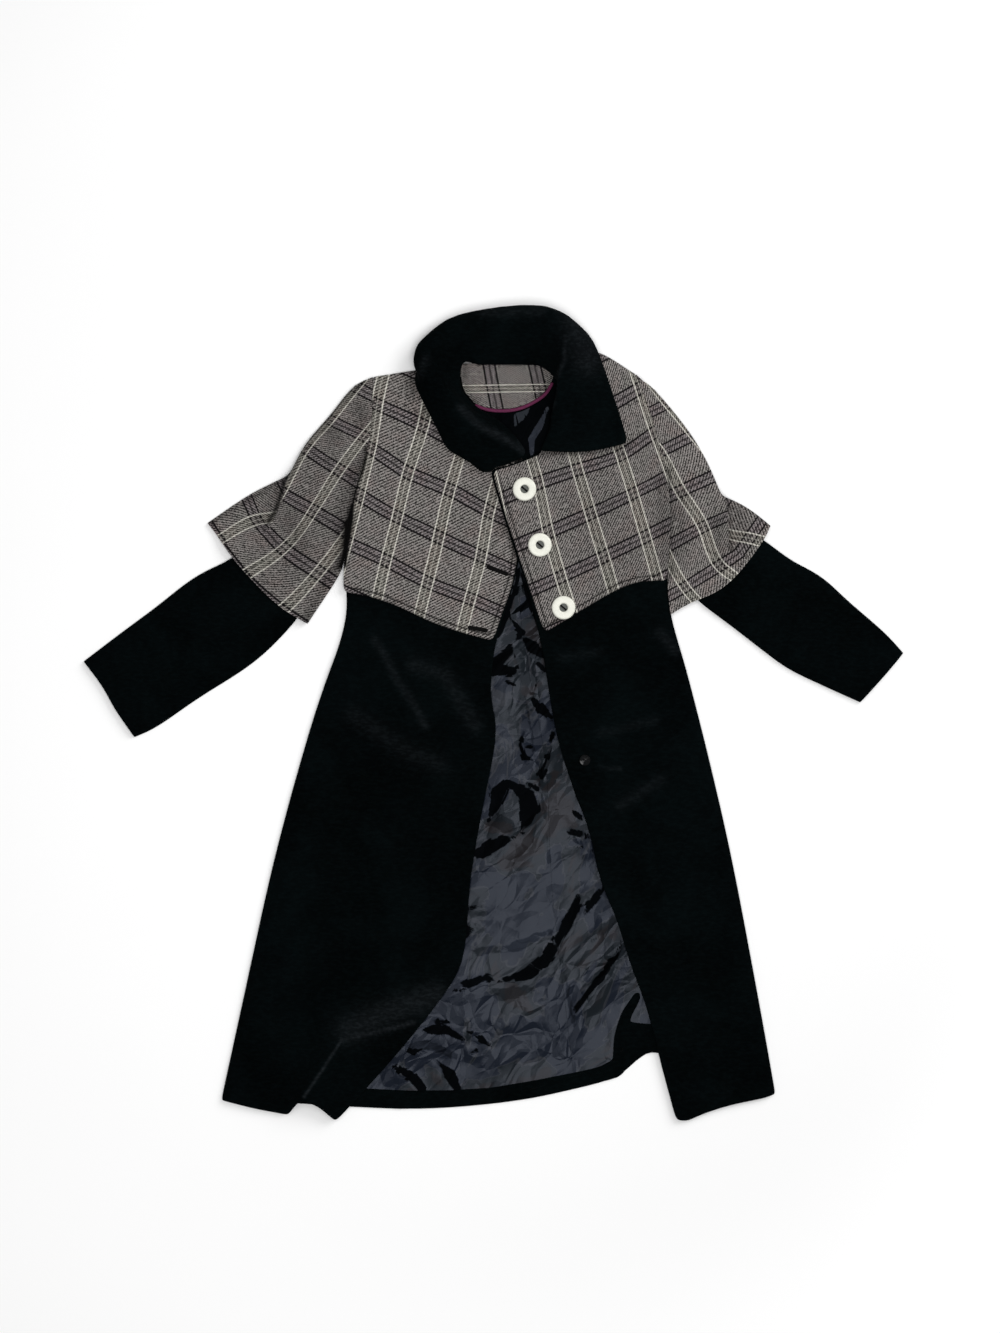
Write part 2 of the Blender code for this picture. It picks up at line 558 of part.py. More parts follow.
def neck_piping():
    """A round cord along the foot of the facing."""
    line = curve(PIPING_LINE, 16)
    along = np.gradient(line, axis=0)
    along /= np.linalg.norm(along, axis=1)[:, None]
    sideways = np.column_stack([along[:, 1], -along[:, 0]])
    level = CAPE_TOP + BACK_TO_LINING + PIPING_RADIUS
    sides = 8
    vertices = []
    for centre, out in zip(line, sideways):
        for turn in range(sides):
            angle = 2.0 * math.pi * turn / sides
            place = centre + PIPING_RADIUS * math.cos(angle) * out
            vertices.append((place[0], -place[1], level + PIPING_RADIUS * math.sin(angle)))
    faces = [list(range(sides)), list(range(len(vertices) - sides, len(vertices)))]
    for ring in range(len(line) - 1):
        for turn in range(sides):
            after = (turn + 1) % sides
            here, there = ring * sides, (ring + 1) * sides
            faces.append([here + turn, here + after, there + after, there + turn])
    return finish("neck_piping", (vertices, faces), PIPING_PLUM)


def collar():
    """Velvet collar rolled over all round its neck seam."""
    seams, stands, rolls, falls, edges = [], [], [], [], []
    for section in COLLAR_SECTIONS:
        seams.append(section.seam)
        stands.append(0.5 * (np.array(section.seam) + section.roll) + (0.0, 0.0, COLLAR_STAND_RISE))
        rolls.append(section.roll)
        falls.append(section.fall)
        edges.append(section.edge)
    lines = [curve(line, COLLAR_STEPS) for line in (seams, stands, rolls, falls, edges)]
    middle = np.array([curve([line[step] for line in lines], COLLAR_ACROSS)
                       for step in range(COLLAR_STEPS + 1)])
    middle[..., 1] *= -1.0
    normal = np.cross(np.gradient(middle, axis=0), np.gradient(middle, axis=1))
    normal /= np.linalg.norm(normal, axis=2)[..., None]
    half = 0.5 * COLLAR_WALL * normal
    return finish("collar", shell(middle - half, middle + half), VELVET_BLACK)


def turned(name, profile, look):
    """A closed shape turned round the Z axis from rows of (radius, height), first and last on the axis."""
    vertices = [(0.0, 0.0, profile[0][1])]
    for radius, height in profile[1:-1]:
        for turn in range(BUTTON_SIDES):
            angle = 2.0 * math.pi * turn / BUTTON_SIDES
            vertices.append((radius * math.cos(angle), radius * math.sin(angle), height))
    vertices.append((0.0, 0.0, profile[-1][1]))
    faces = []
    end = len(vertices) - 1
    last = end - BUTTON_SIDES
    for turn in range(BUTTON_SIDES):
        after = (turn + 1) % BUTTON_SIDES
        faces.append([0, 1 + turn, 1 + after])
        faces.append([end, last + after, last + turn])
        for ring in range(len(profile) - 3):
            here, there = 1 + ring * BUTTON_SIDES, 1 + (ring + 1) * BUTTON_SIDES
            faces.append([here + turn, here + after, there + after, there + turn])
    return finish(name, (vertices, faces), look)


def button_profile(radius, height):
    """A dished button: flat back, round rim, deep well in the middle."""
    return [(0.0, 0.0), (0.86 * radius, 0.0), (radius, 0.4 * height), (0.93 * radius, 0.8 * height),
            (0.7 * radius, height), (0.47 * radius, 0.86 * height), (0.36 * radius, 0.45 * height),
            (0.0, 0.4 * height)]


def seat(piece, place, top_of):
    """Lay a button on the cloth at a plan point, tilted to the cloth's slope there."""
    reach = BUTTON_RADIUS
    x, drop = place
    spots = [(x, drop), (x - reach, drop), (x + reach, drop), (x, drop - reach), (x, drop + reach)]
    centre, west, east, north, south = top_of(np.array([spots], dtype=float))[0]
    tilt_x = (east - west) / (2.0 * reach)
    tilt_y = (north - south) / (2.0 * reach)
    normal = Vector((-tilt_x, -tilt_y, 1.0)).normalized()
    turn = Vector((0.0, 0.0, 1.0)).rotation_difference(normal).to_matrix().to_4x4()
    height = max(centre, 0.5 * (west + east), 0.5 * (north + south)) + CLEAR
    piece.data.transform(Matrix.Translation(Vector((x, -drop, height)) * MM) @ turn)


def buttons():
    def cape_right_top(grid):
        return cape_level(grid) + lap_rise(grid) + TWEED

    def skirt_right_top(grid):
        return body_ground(grid) + BACK_TO_FRONT + FRONT_LOFT + fold_rise(grid, SKIRT_FOLDS_RIGHT) + VELVET

    for place_name, place in RING_BUTTONS.items():
        ring = turned("button_" + place_name, button_profile(BUTTON_RADIUS, BUTTON_HEIGHT), BUTTON_CREAM)
        seat(ring, place, cape_right_top)
    small = turned("button_small", button_profile(SMALL_BUTTON_RADIUS, SMALL_BUTTON_HEIGHT), BUTTON_BLACK)
    seat(small, SMALL_BUTTON, skirt_right_top)


def centre_on_origin():
    """Hang every piece on an empty that puts the middle of the coat's underside at the origin."""
    pieces = [item for item in bpy.data.objects if item.type == "MESH"]
    corners = np.array([vertex.co for piece in pieces for vertex in piece.data.vertices])
    low, high = corners.min(axis=0), corners.max(axis=0)
    coat = bpy.data.objects.new("coat", None)
    bpy.context.scene.collection.objects.link(coat)
    coat.location = (-0.5 * (low[0] + high[0]), -0.5 * (low[1] + high[1]), -low[2])
    for piece in pieces:
        piece.parent = coat
    bpy.context.view_layer.update()


def main():
    clear_scene()
    cape_back()
    cape_fronts()
    cape_sleeve("left", CAPE_SLEEVE_LEFT, ARMHOLE_LEFT, -GAP, CAPE_FOLDS_LEFT, FLARE_LINE)
    cape_sleeve("right", CAPE_SLEEVE_RIGHT, ARMHOLE_RIGHT, GAP, CAPE_FOLDS_RIGHT, None)
    coat_back()
    coat_fronts()
    coat_sleeve("left", SLEEVE_LEFT, ARMHOLE_LEFT, -GAP, SLEEVE_HEM_LEFT, SLEEVE_FOLDS_LEFT)
    coat_sleeve("right", SLEEVE_RIGHT, ARMHOLE_RIGHT, GAP, SLEEVE_HEM_RIGHT, SLEEVE_FOLDS_RIGHT)
    back_linings()
    back_hem_band()
    neck_facing()
    neck_piping()
    collar()
    buttons()
    centre_on_origin()


main()
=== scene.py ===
"""Cape-back coat laid flat: the finish of its velvet, tweed, satin and buttons.

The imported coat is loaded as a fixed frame. Each cloth panel is copied from it, smoothed,
creased and given its wall again. Plan points are in millimetres: x to the right of the
centre back as seen from above, drop from the nape down to the hem.
"""

import math
from collections import namedtuple

import bmesh
import bpy
import numpy as np
from bpy.props import FloatProperty, FloatVectorProperty, PointerProperty
from mathutils import Matrix, Vector
from mathutils.bvhtree import BVHTree


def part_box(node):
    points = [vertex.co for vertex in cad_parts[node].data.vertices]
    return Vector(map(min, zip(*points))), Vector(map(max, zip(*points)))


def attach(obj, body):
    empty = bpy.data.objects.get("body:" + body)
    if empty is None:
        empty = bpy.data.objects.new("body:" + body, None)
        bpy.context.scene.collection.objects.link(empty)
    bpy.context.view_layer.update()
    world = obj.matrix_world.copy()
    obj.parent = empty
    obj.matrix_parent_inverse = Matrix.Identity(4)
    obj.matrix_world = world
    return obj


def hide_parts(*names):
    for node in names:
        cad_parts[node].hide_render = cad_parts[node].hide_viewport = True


bl_info = {
    "name": "Cape-back coat",
    "version": (1, 0, 0),
    "blender": (4, 5, 0),
    "location": "View3D > Sidebar > Coat",
    "description": "Dresses a flat-laid velvet coat with a tweed capelet",
    "category": "Object",
}

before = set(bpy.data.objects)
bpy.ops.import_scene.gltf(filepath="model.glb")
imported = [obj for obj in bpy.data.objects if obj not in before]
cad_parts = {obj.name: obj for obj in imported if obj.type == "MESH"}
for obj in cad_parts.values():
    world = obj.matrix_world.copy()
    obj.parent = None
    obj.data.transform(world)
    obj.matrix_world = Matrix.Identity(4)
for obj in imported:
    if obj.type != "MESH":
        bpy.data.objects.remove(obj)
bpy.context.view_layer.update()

MM = 0.001
MERGE = 0.00001

# The photograph's frame: its size in pixels, millimetres to a pixel, and the plan point at its centre
FRAME_SIZE = (1000, 1333)
FRAME_SCALE = 1.44
FRAME_CENTRE = (2.9, 438.5)
LENS = 85.0
SENSOR = 36.0

# The small button's plan point, which ties plan points to the frame
SMALL_BUTTON_PLAN = (125.0, 573.0)

# Outline corners sharper than this keep part of their point when a sheet is smoothed
CORNER_ANGLE = math.radians(38)
CORNER_CREASE = 0.35

# The turned rim, the stitched groove and the rows of points along a sheet's edge, in millimetres
RIM_WIDTH = 2.4
RIM_DROP = 1.3
GROOVE_WIDTH = 1.5
GROOVE_DEPTH = 0.9
EDGE_ROWS = (2.4, 3.4, 1.2, 1.2)

# Distance of the topstitching from a cape sleeve's hem
SLEEVE_STITCH_INSET = 4.5

# Where the cape fronts are topstitched: on the inward side of edge_x below edge_drop, and of
# hem_x below hem_drop
Sewn = namedtuple("Sewn", "inward edge_x edge_drop hem_x hem_drop")
SEWN_FRONTS = {
    "left": Sewn(1.0, -30.0, 140.0, -215.0, 325.0),
    "right": Sewn(-1.0, 90.0, 166.0, 236.0, 308.0),
}

# A stitch: its half length as a share of the pitch, and half its width, half its height and its lift
STITCH_SHARE = 0.36
STITCH_WIDTH = 0.7
STITCH_HEIGHT = 0.5
STITCH_LIFT = 0.1

# How much a sheet clears the piece that it settles on, in millimetres
SETTLE_GAP = 0.2

# Where each edge of an outline is measured from, and how many points are measured at a time
RIM_STEPS = (0.0, 0.25, 0.5, 0.75)
BATCH = 2000

# Faces whose normal rises less than this belong to a panel's wall
WALL_SLOPE = 0.2

# Limits for joining triangles into quads, and the angles beyond which shading stays sharp
QUAD_BEND = math.radians(60)
QUAD_SHAPE = math.radians(120)
WALL_ANGLE = math.radians(50)
BUTTON_ANGLE = math.radians(40)

# How far the collar and the piping swell after smoothing, and the wall of the turned-up hem, in metres
COLLAR_SWELL = 0.0006
PIPING_SWELL = 0.0011
HEM_WALL = 0.001

# The cut of a cloth that shows, in metres and square metres; a sleeve's is its two halves together
Cut = namedtuple("Cut", "width length area")

# Size and height of the unevenness of loose cloth, in metres
LIE_SIZE = 0.07
LIE_HEIGHT = 0.0016

# Steeper than this, an edge near the body is the armhole and not a sleeve's side
ARMHOLE_STEEPNESS = 2.4
ARMHOLE_REACH = 255.0

# How many near points of the under half give the height below a sleeve
NEAREST = 6

# Yarn and plaid lines of the tweed, in metres: half the gap of a pair and the width of a line
YARN = 0.00124
Pair = namedtuple("Pair", "half_gap line")
WHITE_PAIR = Pair(0.0078, 0.0019)
BLACK_PAIR = Pair(0.0085, 0.0027)

# How loosely the cloth's map follows the crossings below
GRAIN_EASE = 40.0

# Places where a white pair of the plaid crosses a black pair: the pairs' numbers across
# and along the cloth, and the plan point
Crossing = namedtuple("Crossing", "across along x drop")


def crossings(*rows):
    """The rows of a plaid's table."""
    return [Crossing(*row) for row in rows]


CAPE_FRONT_LEFT_PLAID = crossings(
    (0, 0, -174, 62), (0, 1, -183, 125), (0, 2, -199, 192), (0, 3, -217, 261),
    (1, 0, -107, 92), (1, 1, -130, 161), (1, 2, -145, 224), (1, 3, -161, 286),
    (2, 0, -50, 121), (2, 1, -69, 184), (2, 2, -85, 253), (2, 3, -101, 318),
    (3, 1, -13, 216), (3, 2, -24, 280), (3, 3, -40, 341),
)
CAPE_FRONT_RIGHT_PLAID = crossings(
    (0, 1, 58, 175), (0, 2, 72, 246), (0, 3, 90, 310),
    (1, 1, 114, 156), (1, 2, 133, 219), (1, 3, 152, 281),
    (2, 1, 177, 135), (2, 2, 194, 190), (2, 3, 212, 252),
    (3, 1, 225, 102),
)
CAPE_SLEEVE_LEFT_PLAID = crossings(
    (0, 0, -242, 84), (0, 1, -277, 124), (0, 2, -311, 189), (0, 3, -346, 229),
    (0, 3.78, -395, 251),
    (1, 0, -192, 108), (1, 1, -228, 156), (1, 2, -266, 215), (1, 3, -308, 269),
    (1, 3.76, -353, 300),
    (2, 2, -215, 246), (2, 3, -258, 303), (2, 3.8, -300, 349),
)
CAPE_LOBE_LEFT_PLAID = crossings(
    (0, 3, -346, 228), (0, 2.6, -323, 225), (-0.45, 3, -359, 199),
    (0.3, 3, -335, 243), (0.75, 3, -313, 264),
    (-0.39, 3.87, -408, 234), (0, 3.87, -395, 253), (0.47, 3.87, -378, 274),
)
CAPE_LOBE_RIGHT_PLAID = crossings(
    (2, 3, 361, 254), (2, 2.54, 331, 249), (2, 3.25, 377, 258),
    (2.49, 3, 380, 227), (1.53, 3, 343, 279), (1, 3, 317, 298), (1, 3.4, 340, 310),
)
CAPE_SLEEVE_RIGHT_PLAID = crossings(
    (1, 0, 233, 130), (1, 1, 262, 187), (1, 2, 295, 238), (1, 3, 318, 294),
    (1, 3.4, 340, 310),
    (0, 2, 238, 269), (0, 3, 269, 325), (0, 3.4, 283, 342),
    (2, -1, 244, 61), (2, 0, 281, 106), (2, 1, 325, 158), (2, 2, 350, 214),
    (2, 3, 372, 259),
)
FACING_PLAID = crossings(
    (0, 0, -7, 39), (0, 1, 60, 38), (0.8, 0, -13, 4), (0.8, 1, 52, 3),
)
CAPE_BACK_PLAID = crossings(
    (0, 0, 0, 100), (1, 0, 66, 100), (0, 1, 0, 166), (-1, 0, -66, 100),
)

# Outer lobes of the cape sleeves, behind the fold, where the plaid starts anew
CAPE_LOBES = {
    "left": [(-279, 118), (-301, 162), (-310, 199), (-326, 236), (-350, 262), (-430, 262), (-430, 118)],
    "right": [(323, 187), (329, 207), (330, 233), (333, 265), (345, 280), (430, 280), (430, 187)],
}

# Folds: a crest from start to end, its rise at both, and how wide it is to the left and
# to the right of the way from start to end
Fold = namedtuple("Fold", "start end rise_start rise_end left_width right_width")
SLEEVE_FOLDS = {
    "left": [
        Fold((-279, 118), (-301, 162), 3.0, 6.0, 28.0, 3.0),
        Fold((-301, 162), (-310, 199), 6.0, 7.0, 28.0, 3.0),
        Fold((-310, 199), (-326, 236), 7.0, 2.0, 28.0, 3.0),
    ],
    "right": [
        Fold((323, 187), (330, 215), 3.0, 6.0, 3.0, 28.0),
        Fold((330, 215), (331, 240), 6.0, 6.0, 3.0, 28.0),
        Fold((331, 240), (334, 268), 6.0, 2.0, 3.0, 28.0),
    ],
}

# Soft lines of light, shade or crumple on the cloth: points, width and strength
Soft = namedtuple("Soft", "points width strength")

# Creases of the satin, with shade painted black in them: points along each one, with x, drop and half its
# width there. The crest lies to the right of the way along it.
CREASES_IN_DEEP_SHADE = [
    [(31, 297, 3), (24, 330, 4), (13, 360, 5), (0, 396, 3)],
    [(33, 303, 2), (43, 339, 3), (59, 381, 3)],
    [(43, 347, 5), (29, 357, 4.5), (17, 365, 1)],
    [(18, 368, 1.5), (26, 379, 4.5), (35, 390, 2)],
    [(30, 395, 2.5), (13, 412, 1.5)],
    [(40, 402, 4), (52, 412, 9), (64, 420, 5)],
    [(58, 435, 2), (67, 443, 3.5)],
    [(65, 448, 1), (55, 466, 3), (51, 476, 1)],
    [(-16, 444, 9), (22, 445, 7)],
    [(-8, 436, 9), (18, 416, 6)],
    [(22, 415, 1.1), (32, 454, 1.3), (40, 487, 1.5)],
    [(13, 461, 2), (21, 464, 4), (29, 467, 2)],
    [(50, 486, 3), (62, 499, 6.5), (76, 511, 6)],
    [(49, 573, 2), (38, 570, 2.5), (32, 551, 3), (37, 534, 1.5)],
    [(41, 553, 1), (47, 553, 2.5)],
    [(61, 594, 5), (68, 577, 3), (75, 555, 3), (79, 534, 2)],
    [(63, 597, 5), (69, 588, 4)],
    [(45, 608, 2), (57, 615, 4)],
    [(30, 612, 4), (12, 605, 6), (0, 622, 11), (-6, 640, 9), (-14, 660, 3)],
    [(26, 610, 4), (42, 628, 14), (46, 642, 14), (42, 660, 9), (35, 676, 3)],
    [(-28, 707, 8), (-8, 697, 10), (8, 690, 7), (24, 684, 2)],
    [(108, 648, 1), (120, 657, 2.5)],
    [(105, 676, 2.5), (118, 679, 4), (134, 684, 3.5)],
    [(108, 697, 1), (128, 700, 1.5), (142, 706, 5)],
    [(-38, 786, 4), (-23, 783, 2)],
    [(-50, 827, 6), (-40, 817, 6), (-29, 807, 2)],
    [(125, 794, 3), (134, 777, 5), (155, 753, 4)],
    [(-8, 891, 1.5), (22, 886, 5.5), (44, 880, 9), (68, 860, 9), (90, 824, 8.5), (106, 796, 9),
     (116, 769, 4)],
    [(110, 933, 2), (128, 910, 4), (154, 879, 4.5), (179, 835, 3)],
    [(-68, 911, 2), (-48, 896, 6), (-16, 886, 4)],
    [(-105, 962, 2), (-90, 959, 6), (-72, 962, 6), (-51, 975, 4)],
    [(-93, 949, 1.5), (-80, 948, 3.5), (-69, 950, 1.5)],
    [(-42, 962, 2), (-28, 972, 5), (-13, 983, 2)],
    [(-38, 998, 3.5), (-28, 988, 2)],
    [(-140, 985, 1.5), (-120, 995, 2.5), (-100, 990, 1)],
    [(-147, 1016, 5), (-125, 1027, 8), (-109, 1047, 5)],
    [(-90, 1004, 2), (-71, 1023, 6), (-59, 1045, 5)],
]

# Creases painted only half dark: the dark seam at the centre back, and half shade painted in some shallow
# folds
SEAM_AND_HALF_SHADE_CREASES = [
    [(40, 487, 1.3), (46, 523, 1.2), (51, 559, 1.2), (68, 652, 1.2), (75, 739, 1.6), (79, 804, 1.2),
     (89, 832, 1.2), (97, 883, 1.2), (109, 955, 1.2)],
    [(136, 834, 3), (150, 818, 6), (166, 802, 4)],
    [(64, 947, 3), (68, 930, 4)],
    [(0, 912, 6), (28, 907, 9), (47, 902, 5)],
    [(-33, 850, 4), (30, 840, 7), (78, 818, 4)],
    [(-130, 985, 5), (-95, 985, 8), (-60, 1000, 4)],
    [(-12, 655, 12), (14, 668, 9)],
]

# Parts of the satin that look browner or bluer than the rest, in the same columns
BROWN_PARTS = [
    [(12, 722, 18), (48, 706, 24), (62, 735, 16)],
    [(-14, 668, 12), (14, 672, 10)],
    [(60, 640, 8), (100, 640, 14), (100, 660, 12)],
    [(20, 905, 14), (45, 935, 14)],
    [(-100, 1015, 12), (-85, 1035, 10)],
]
BLUE_PARTS = [
    [(0, 775, 22), (10, 805, 32), (50, 815, 22)],
    [(80, 705, 8), (112, 690, 10)],
    [(-30, 915, 12), (-8, 925, 16)],
    [(-32, 1022, 14), (-6, 1022, 10)],
    [(80, 1007, 12), (92, 1010, 10)],
    [(160, 835, 8), (128, 885, 10)],
]

# A crease's slope, its two sides as shares of its half width, and where its crest lies
STEEPNESS = 0.34
STEEP_SIDE = 1.3
GENTLE_SIDE = 3.2
CREST_SHARE = 0.7
CREASE_REACH = 30.0
TINT_EASE = 8.0

# The satin is creased where it shows, and fades to this share under the fronts, whose edges are
# read at these drops
LINING_EASE = 22.0
LINING_OVERLAP = 8.0
LINING_UNDER_FRONTS = 0.12
EDGE_DROPS = np.arange(70.0, 1060.0, 15.0)
EDGE_BAND = 12.0

# Where the satin is crumpled most
CRUMPLED = [
    Soft([(35, 340), (50, 400), (55, 450), (62, 520), (60, 590)], 26.0, 1.0),
    Soft([(-20, 660), (20, 620)], 22.0, 0.5),
    Soft([(120, 670), (130, 700)], 16.0, 0.8),
    Soft([(175, 840), (120, 920), (90, 960)], 22.0, 0.8),
    Soft([(-140, 1000), (-90, 985), (-40, 985), (0, 960)], 36.0, 1.0),
    Soft([(60, 960), (90, 1000)], 28.0, 0.5),
]

# The satin inside the neck is painted in shade down to this drop, except at the places there that catch the
# light
NECK_SHADE = 210.0
NECK_CRISPNESS = 4.0
NECK_GLINTS = [
    [(25, 92, 2), (30, 80, 7), (42, 70, 5)],
    [(72, 66, 2), (59, 94, 4.5), (48, 112, 4), (49, 135, 2.5)],
]

# Lines along which a highlight is painted on the velvet's pile: the crests of its folds, the collar's roll
# and its edges
PAINTED_FRONT_HIGHLIGHTS = [
    Soft([(-177, 400), (-163, 422), (-145, 458), (-120, 494), (-105, 523)], 6.0, 0.42),
    Soft([(-120, 436), (-76, 451), (-55, 487), (-33, 523)], 12.0, 0.35),
    Soft([(-206, 508), (-134, 559), (-84, 580)], 14.0, 0.28),
    Soft([(-215, 960), (-150, 932), (-92, 912)], 20.0, 0.55),
    Soft([(-224, 974), (-166, 961), (-120, 950)], 3.0, 0.95),
    Soft([(-278, 1055), (-250, 1014), (-224, 974)], 2.0, 0.95),
    Soft([(147, 534), (226, 516)], 6.0, 0.25),
    Soft([(147, 584), (176, 584)], 2.0, 0.45),
    Soft([(176, 638), (233, 602)], 8.0, 0.3),
    Soft([(233, 390), (255, 415)], 8.0, 0.4),
    Soft([(90, 425), (146, 418)], 6.0, 0.2),
]
PAINTED_COLLAR_HIGHLIGHTS = [
    Soft([(-53, 69), (-26, 94), (10, 112), (39, 130)], 6.0, 0.6),
    Soft([(96, -32), (95, 1), (82, 29), (78, 66)], 3.5, 0.5),
    Soft([(112, -60), (130, 0)], 24.0, 0.5),
    Soft([(-20, -68), (60, -70)], 9.0, 0.35),
    Soft([(23, 98), (42, 134)], 2.5, 0.6),
    Soft([(-112, 20), (-104, 0)], 7.0, 0.35),
]

# Shade in the folds, along the edges and under the collar's foot, on the tweed
SHADED_FRONTS = {
    "left": [
        Soft([(-10, 160), (11, 228), (31, 288)], 4.5, 0.95),
        Soft([(-124, 30), (-107, 71), (-74, 114), (-20, 148)], 7.0, 0.5),
        Soft([(-189, 135), (-195, 159), (-204, 180)], 2.6, 1.0),
        Soft([(-204, 180), (-209, 201), (-211, 225)], 3.6, 1.2),
        Soft([(-211, 225), (-215, 248), (-219, 272), (-221, 293)], 4.6, 1.3),
        Soft([(2, 148), (18, 143), (38, 135)], 8.0, 1.3),
        Soft([(-30, 190), (-60, 250)], 26.0, 0.10),
        Soft([(-62, 3), (-62, 34), (-42, 68), (-10, 88), (14, 106)], 9.0, 1.3),
    ],
    "right": [
        Soft([(57, 134), (190, 122)], 7.0, 0.45),
        Soft([(236, 175), (240, 290)], 15.0, 0.35),
        Soft([(130, 190), (170, 300)], 60.0, 0.16),
        Soft([(100, 160), (200, 150)], 80.0, 0.07),
        Soft([(92, -20), (96, 40), (90, 74), (82, 98)], 10.0, 1.3),
    ],
}
SHADED_SLEEVES = {
    "left": [
        Soft([(-190, 124), (-207, 179)], 3.5, 1.0),
        Soft([(-207, 179), (-212, 205)], 4.5, 1.1),
        Soft([(-212, 205), (-216, 232)], 5.5, 1.2),
        Soft([(-217, 232), (-221, 262), (-224, 293)], 6.5, 1.3),
        Soft([(-202, 150), (-219, 200), (-230, 250)], 15.0, 0.45),
        Soft([(-300, 160), (-308, 177), (-315, 204), (-321, 217), (-330, 231)], 4.5, 0.9),
        Soft([(-308, 162), (-316, 180), (-325, 208), (-339, 232)], 15.0, 0.35),
        Soft([(-300, 225), (-283, 262)], 22.0, 0.4),
        Soft([(-243, 100), (-236, 112)], 16.0, 0.42),
        Soft([(-200, 66), (-194, 86)], 14.0, 0.45),
        Soft([(-181, 19), (-225, 59), (-281, 122), (-301, 168)], 6.0, 0.45),
        Soft([(-301, 165), (-417, 235)], 4.0, 0.4),
        Soft([(-278, 374), (-222, 268)], 8.0, 0.5),
        Soft([(-260, 150), (-300, 300)], 80.0, 0.2),
    ],
    "right": [
        Soft([(245, 155), (248, 219), (250, 298), (245, 312)], 5.0, 0.6),
        Soft([(328, 190), (334, 228), (334, 270)], 5.0, 0.55),
        Soft([(338, 195), (346, 225), (346, 255)], 16.0, 0.35),
        Soft([(262, 190), (262, 280)], 14.0, 0.3),
        Soft([(316, 235), (320, 290)], 10.0, 0.3),
        Soft([(281, 98), (305, 142), (324, 189)], 5.0, 0.4),
        Soft([(327, 192), (391, 234)], 4.0, 0.35),
    ],
}
SHADED_FACING = [
    Soft([(-62, 0), (-62, 36), (-46, 62)], 5.0, 1.3),
    Soft([(-48, 2), (-47, 40), (-30, 62)], 5.0, 0.5),
    Soft([(-40, -4), (72, -4)], 5.0, 0.4),
    Soft([(78, 10), (72, 34), (60, 48)], 5.0, 0.5),
    Soft([(-20, 20), (60, 20)], 60.0, 0.06),
]
EDGE_SHADE = 0.6
EDGE_SHADE_WIDTH = 1.6
GROOVE_SHADE = 0.65

# Small pulls on the collar: the corner of the neck behind, and its left end in front
Pull = namedtuple("Pull", "x drop reach shift_x shift_drop")
COLLAR_PULLS = [
    Pull(-46, 9, 20, -2, -7), Pull(-14, 148, 30, -3, 9), Pull(14, 138, 24, 2, 6), Pull(30, 130, 20, 2, 6),
]

# Pulls that hide the neck edge of the right cape front under the collar
NECK_PULLS = [Pull(86, -5, 40, 5, 0), Pull(86, 40, 40, 5, 0), Pull(78, 88, 30, 5, 0)]

# Pulls at the flipped end of the turned-up hem: on the velvet, and on the satin beside it
HEM_PULLS = [Pull(203, 948, 30, -16, 4)]
LINING_PULLS = [Pull(208, 942, 30, -17, 7)]

# The neck edge of the left cape front, which is drawn back under the collar
NECK_LEFT = [(-58, 3), (-56, 32), (-35, 65), (-4, 84), (22, 105), (40, 134)]
NECK_DRAW = 6.0
NECK_REACH = 26.0
NECK_MIDDLE = (24, 40)
COLLAR_FOOT_TOP = 21.0
COLLAR_FOOT_EASE = 7.0

# Buttonholes on the left cape front, from end to end
BUTTONHOLES = [((-16, 295), (14, 306)), ((-43, 382), (-15, 387))]

# The buttons' profiles as shares of their radius and their height
RING_PROFILE = [
    (0.0, 0.0), (0.84, 0.0), (0.95, 0.12), (1.0, 0.42), (0.985, 0.7), (0.94, 0.88), (0.86, 0.97),
    (0.66, 1.0), (0.48, 0.99), (0.40, 0.93), (0.36, 0.8), (0.345, 0.6), (0.33, 0.4), (0.2, 0.36),
    (0.0, 0.35),
]
SMALL_PROFILE = [
    (0.0, 0.0), (0.84, 0.0), (0.96, 0.14), (1.0, 0.42), (0.985, 0.72), (0.95, 0.92), (0.91, 1.0),
    (0.87, 0.95), (0.6, 0.71), (0.33, 0.46), (0.1, 0.26), (0.0, 0.24),
]
WELL_SHARE = 0.35
WELL_FLOOR = 0.2
BUTTON_STEPS = 72

# The thread bar in a button's well as shares of its radius and height, and its turn
BAR_RADIUS = 0.07
BAR_LENGTH = 0.66
BAR_HEIGHT = 0.46
BAR_TURN = math.radians(-40)

# A worked buttonhole in millimetres: its edge, its slit, and how flat both are
HOLE_RADIUS = 1.8
HOLE_THREAD = 1.2
SLIT_RADIUS = 1.9
HOLE_ENDS = 5.0
HOLE_FLAT = 0.7
SLIT_FLAT = 0.3
HOLE_LIFT = 0.2

# Shares of a buttonhole's length where it is laid on the cloth
HOLE_SEATS = (0.1, 0.5, 0.9)

# Kinds of sockets of a node group, and numbers of the sockets of a colour mix
VALUE = "NodeSocketFloat"
VECTOR = "NodeSocketVector"
COLOUR = "NodeSocketColor"
MIX_SHARE, MIX_FIRST, MIX_SECOND, MIX_RESULT = 0, 6, 7, 2

# The coat's materials by the names that the pieces use
FINISH_NAMES = {
    "tweed": "tweed_plaid", "velvet": "black_velvet", "satin": "lining_satin", "cord": "plum_cord",
    "thread": "grey_thread", "hole_thread": "black_thread", "ring": "cream_resin", "well": "button_well",
    "small": "black_resin",
}

# The stage: its floor, its lamps and the light all round
FLOOR_SIZE = 14.0
Lamp = namedtuple("Lamp", "name place target size power")
LAMPS = [
    Lamp("overhead", (0.2, -0.6, 3.3), (0.0, -0.2, 0.0), 1.3, 22.0),
    Lamp("canopy", (-0.1, -0.15, 3.4), (-0.1, -0.15, 0.0), 3.2, 68.0),
    Lamp("key", (2.4, 1.7, 2.2), (0.0, 0.1, 0.0), 2.2, 76.0),
]
AMBIENT = 0.2


